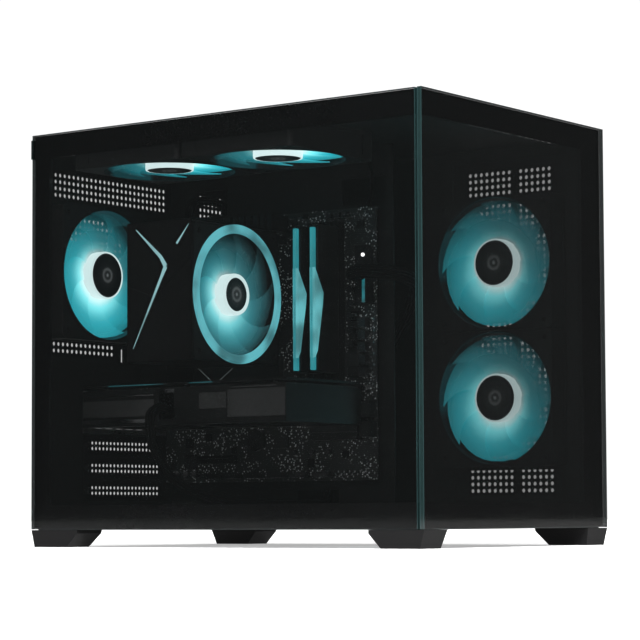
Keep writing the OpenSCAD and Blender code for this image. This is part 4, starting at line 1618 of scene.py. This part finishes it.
@dataclass
class Studio:
    """White surroundings, soft lamps and the camera.

    The angles are in degrees: heading from +Y towards +X, rise above level, and roll.
    """

    eye: Point = (-1.75894, -1.31619, 0.02549)
    heading: float = 53.323
    rise: float = 3.688
    roll: float = -0.25
    lens: float = 140.11
    raise_frame: float = 0.0568
    seen: float = 1.05
    thrown: float = 0.2

    def world(self) -> None:
        """Makes the world white to the eye and dimmer to the tower."""
        world = bpy.data.worlds.new("studio")
        world.use_nodes = True
        tree = world.node_tree
        tree.nodes.clear()
        out = tree.nodes.new("ShaderNodeOutputWorld")
        seen = tree.nodes.new("ShaderNodeBackground")
        seen.inputs["Color"].default_value = (1, 1, 1, 1)
        seen.inputs["Strength"].default_value = self.seen
        lit = tree.nodes.new("ShaderNodeBackground")
        lit.inputs["Color"].default_value = (1, 1, 1, 1)
        lit.inputs["Strength"].default_value = self.thrown
        path = tree.nodes.new("ShaderNodeLightPath")
        mix = tree.nodes.new("ShaderNodeMixShader")
        tree.links.new(path.outputs["Is Camera Ray"], mix.inputs[0])
        tree.links.new(lit.outputs[0], mix.inputs[1])
        tree.links.new(seen.outputs[0], mix.inputs[2])
        tree.links.new(mix.outputs[0], out.inputs[0])
        bpy.context.scene.world = world

    def floor(self) -> None:
        """Lays a wide white floor that glows more away from the tower."""
        bm = bmesh.new()
        bmesh.ops.create_grid(bm, x_segments=1, y_segments=1, size=12.0)
        mesh = bpy.data.meshes.new("studio_floor")
        bm.to_mesh(mesh)
        bm.free()
        shader = Shader("studio_floor")
        where = shader.place()
        x, y, _ = shader.parts(where)
        far = ((x * x + y * y) ** 0.5).ramp(0.35, 1.1)
        grain = shader.noise(where, 2.0, 2.0)
        shader.surface(
            Base_Color=shader.blend(grain, (0.93, 0.93, 0.93), (0.97, 0.97, 0.97)),
            Roughness=0.7,
            Specular_IOR_Level=0.2,
            Emission_Color=shader.blend(far, (0.42, 0.42, 0.42), (1.2, 1.2, 1.2)),
            Emission_Strength=1.0,
        )
        mesh.materials.append(shader.material)
        floor = bpy.data.objects.new("studio_floor", mesh)
        bpy.context.scene.collection.objects.link(floor)

    def lamp(self, name: str, at: Point, aim: Point, size: float, power: float) -> None:
        """Hangs one soft square lamp.

        Args:
            name: The lamp's name.
            at: Where it hangs.
            aim: Where it points.
            size: Its side.
            power: Its power in watts.
        """
        data = bpy.data.lights.new(name, "AREA")
        data.shape = "SQUARE"
        data.size = size
        data.energy = power
        lamp = bpy.data.objects.new(name, data)
        lamp.location = at
        lamp.visible_camera = False
        lamp.rotation_euler = (Vector(aim) - Vector(at)).to_track_quat("-Z", "Y").to_euler()
        bpy.context.scene.collection.objects.link(lamp)

    def camera(self) -> None:
        """Sets the camera."""
        data = bpy.data.cameras.new("view")
        data.lens = self.lens
        data.sensor_width = 36.0
        data.shift_y = self.raise_frame
        data.clip_end = 60.0
        heading, rise, roll = (math.radians(a) for a in (self.heading, self.rise, self.roll))
        level = Vector((math.sin(heading), math.cos(heading), 0))
        ahead = level * math.cos(rise) + Vector((0, 0, math.sin(rise)))
        right = ahead.cross(Vector((0, 0, 1))).normalized()
        up = right.cross(ahead)
        turned_right = right * math.cos(roll) + up * math.sin(roll)
        turned_up = up * math.cos(roll) - right * math.sin(roll)
        camera = bpy.data.objects.new("view", data)
        camera.matrix_world = Matrix.Translation(Vector(self.eye)) @ Matrix(
            (turned_right, turned_up, -ahead)
        ).transposed().to_4x4()
        bpy.context.scene.collection.objects.link(camera)
        bpy.context.scene.camera = camera

    def build(self) -> None:
        """Sets up the whole studio."""
        self.world()
        self.floor()
        self.lamp("overhead", (0.0, 0.0, 2.6), (0, 0, 0), 2.4, 60.0)
        self.lamp("side_soft", (-1.3, -0.95, 1.0), (0.0, 0.0, 0.15), 0.7, 60.0)
        self.camera()
        bpy.context.scene.view_settings.view_transform = "Standard"


def main() -> None:
    """Builds everything."""
    logging.basicConfig(level=logging.INFO, format="%(name)s: %(message)s")
    for node, finish in PAINT.items():
        paint(node, finish)
    for node in bpy.data.objects.keys():
        if node.endswith("_fan_frame"):
            paint(node, Black.MATTE)
    Shell().build()
    Glazing().build()
    right, far, beyond = (0.6, -0.8), (0.8, -0.6), (-0.6, -0.8)
    flat = {"rise": 0.68, "pitch": 0.1}
    dim = {"hub": 18.5, "cap": 0.88, "glare": 0.9, "spread": 0.15, "spill": 0.0}
    fans = [
        Fan("rear_fan_rotor", "rear_rotor", Facing.FRONT, 1.3, beyond),
        Fan("top_rear_fan_rotor", "top_rear_rotor", Facing.DOWN, 1.2, far, **flat),
        Fan("top_front_fan_rotor", "top_front_rotor", Facing.DOWN, 1.2, far, **flat),
        Fan("side_upper_fan_rotor", "side_upper_rotor", Facing.LEFT, 1.3, right),
        Fan("side_lower_fan_rotor", "side_lower_rotor", Facing.LEFT, 1.3, right),
        Fan("cooler_fan_rotor", "cooler_rotor", Facing.FRONT, 0.95, (-0.6, -0.75), **dim),
    ]
    for fan in fans:
        fan.build()
    Cooler().build()
    Memory().build()
    Board().build()
    Card().build()
    for lead in LEADS:
        lead.build()
    Studio().build()


if __name__ == "__main__":
    main()
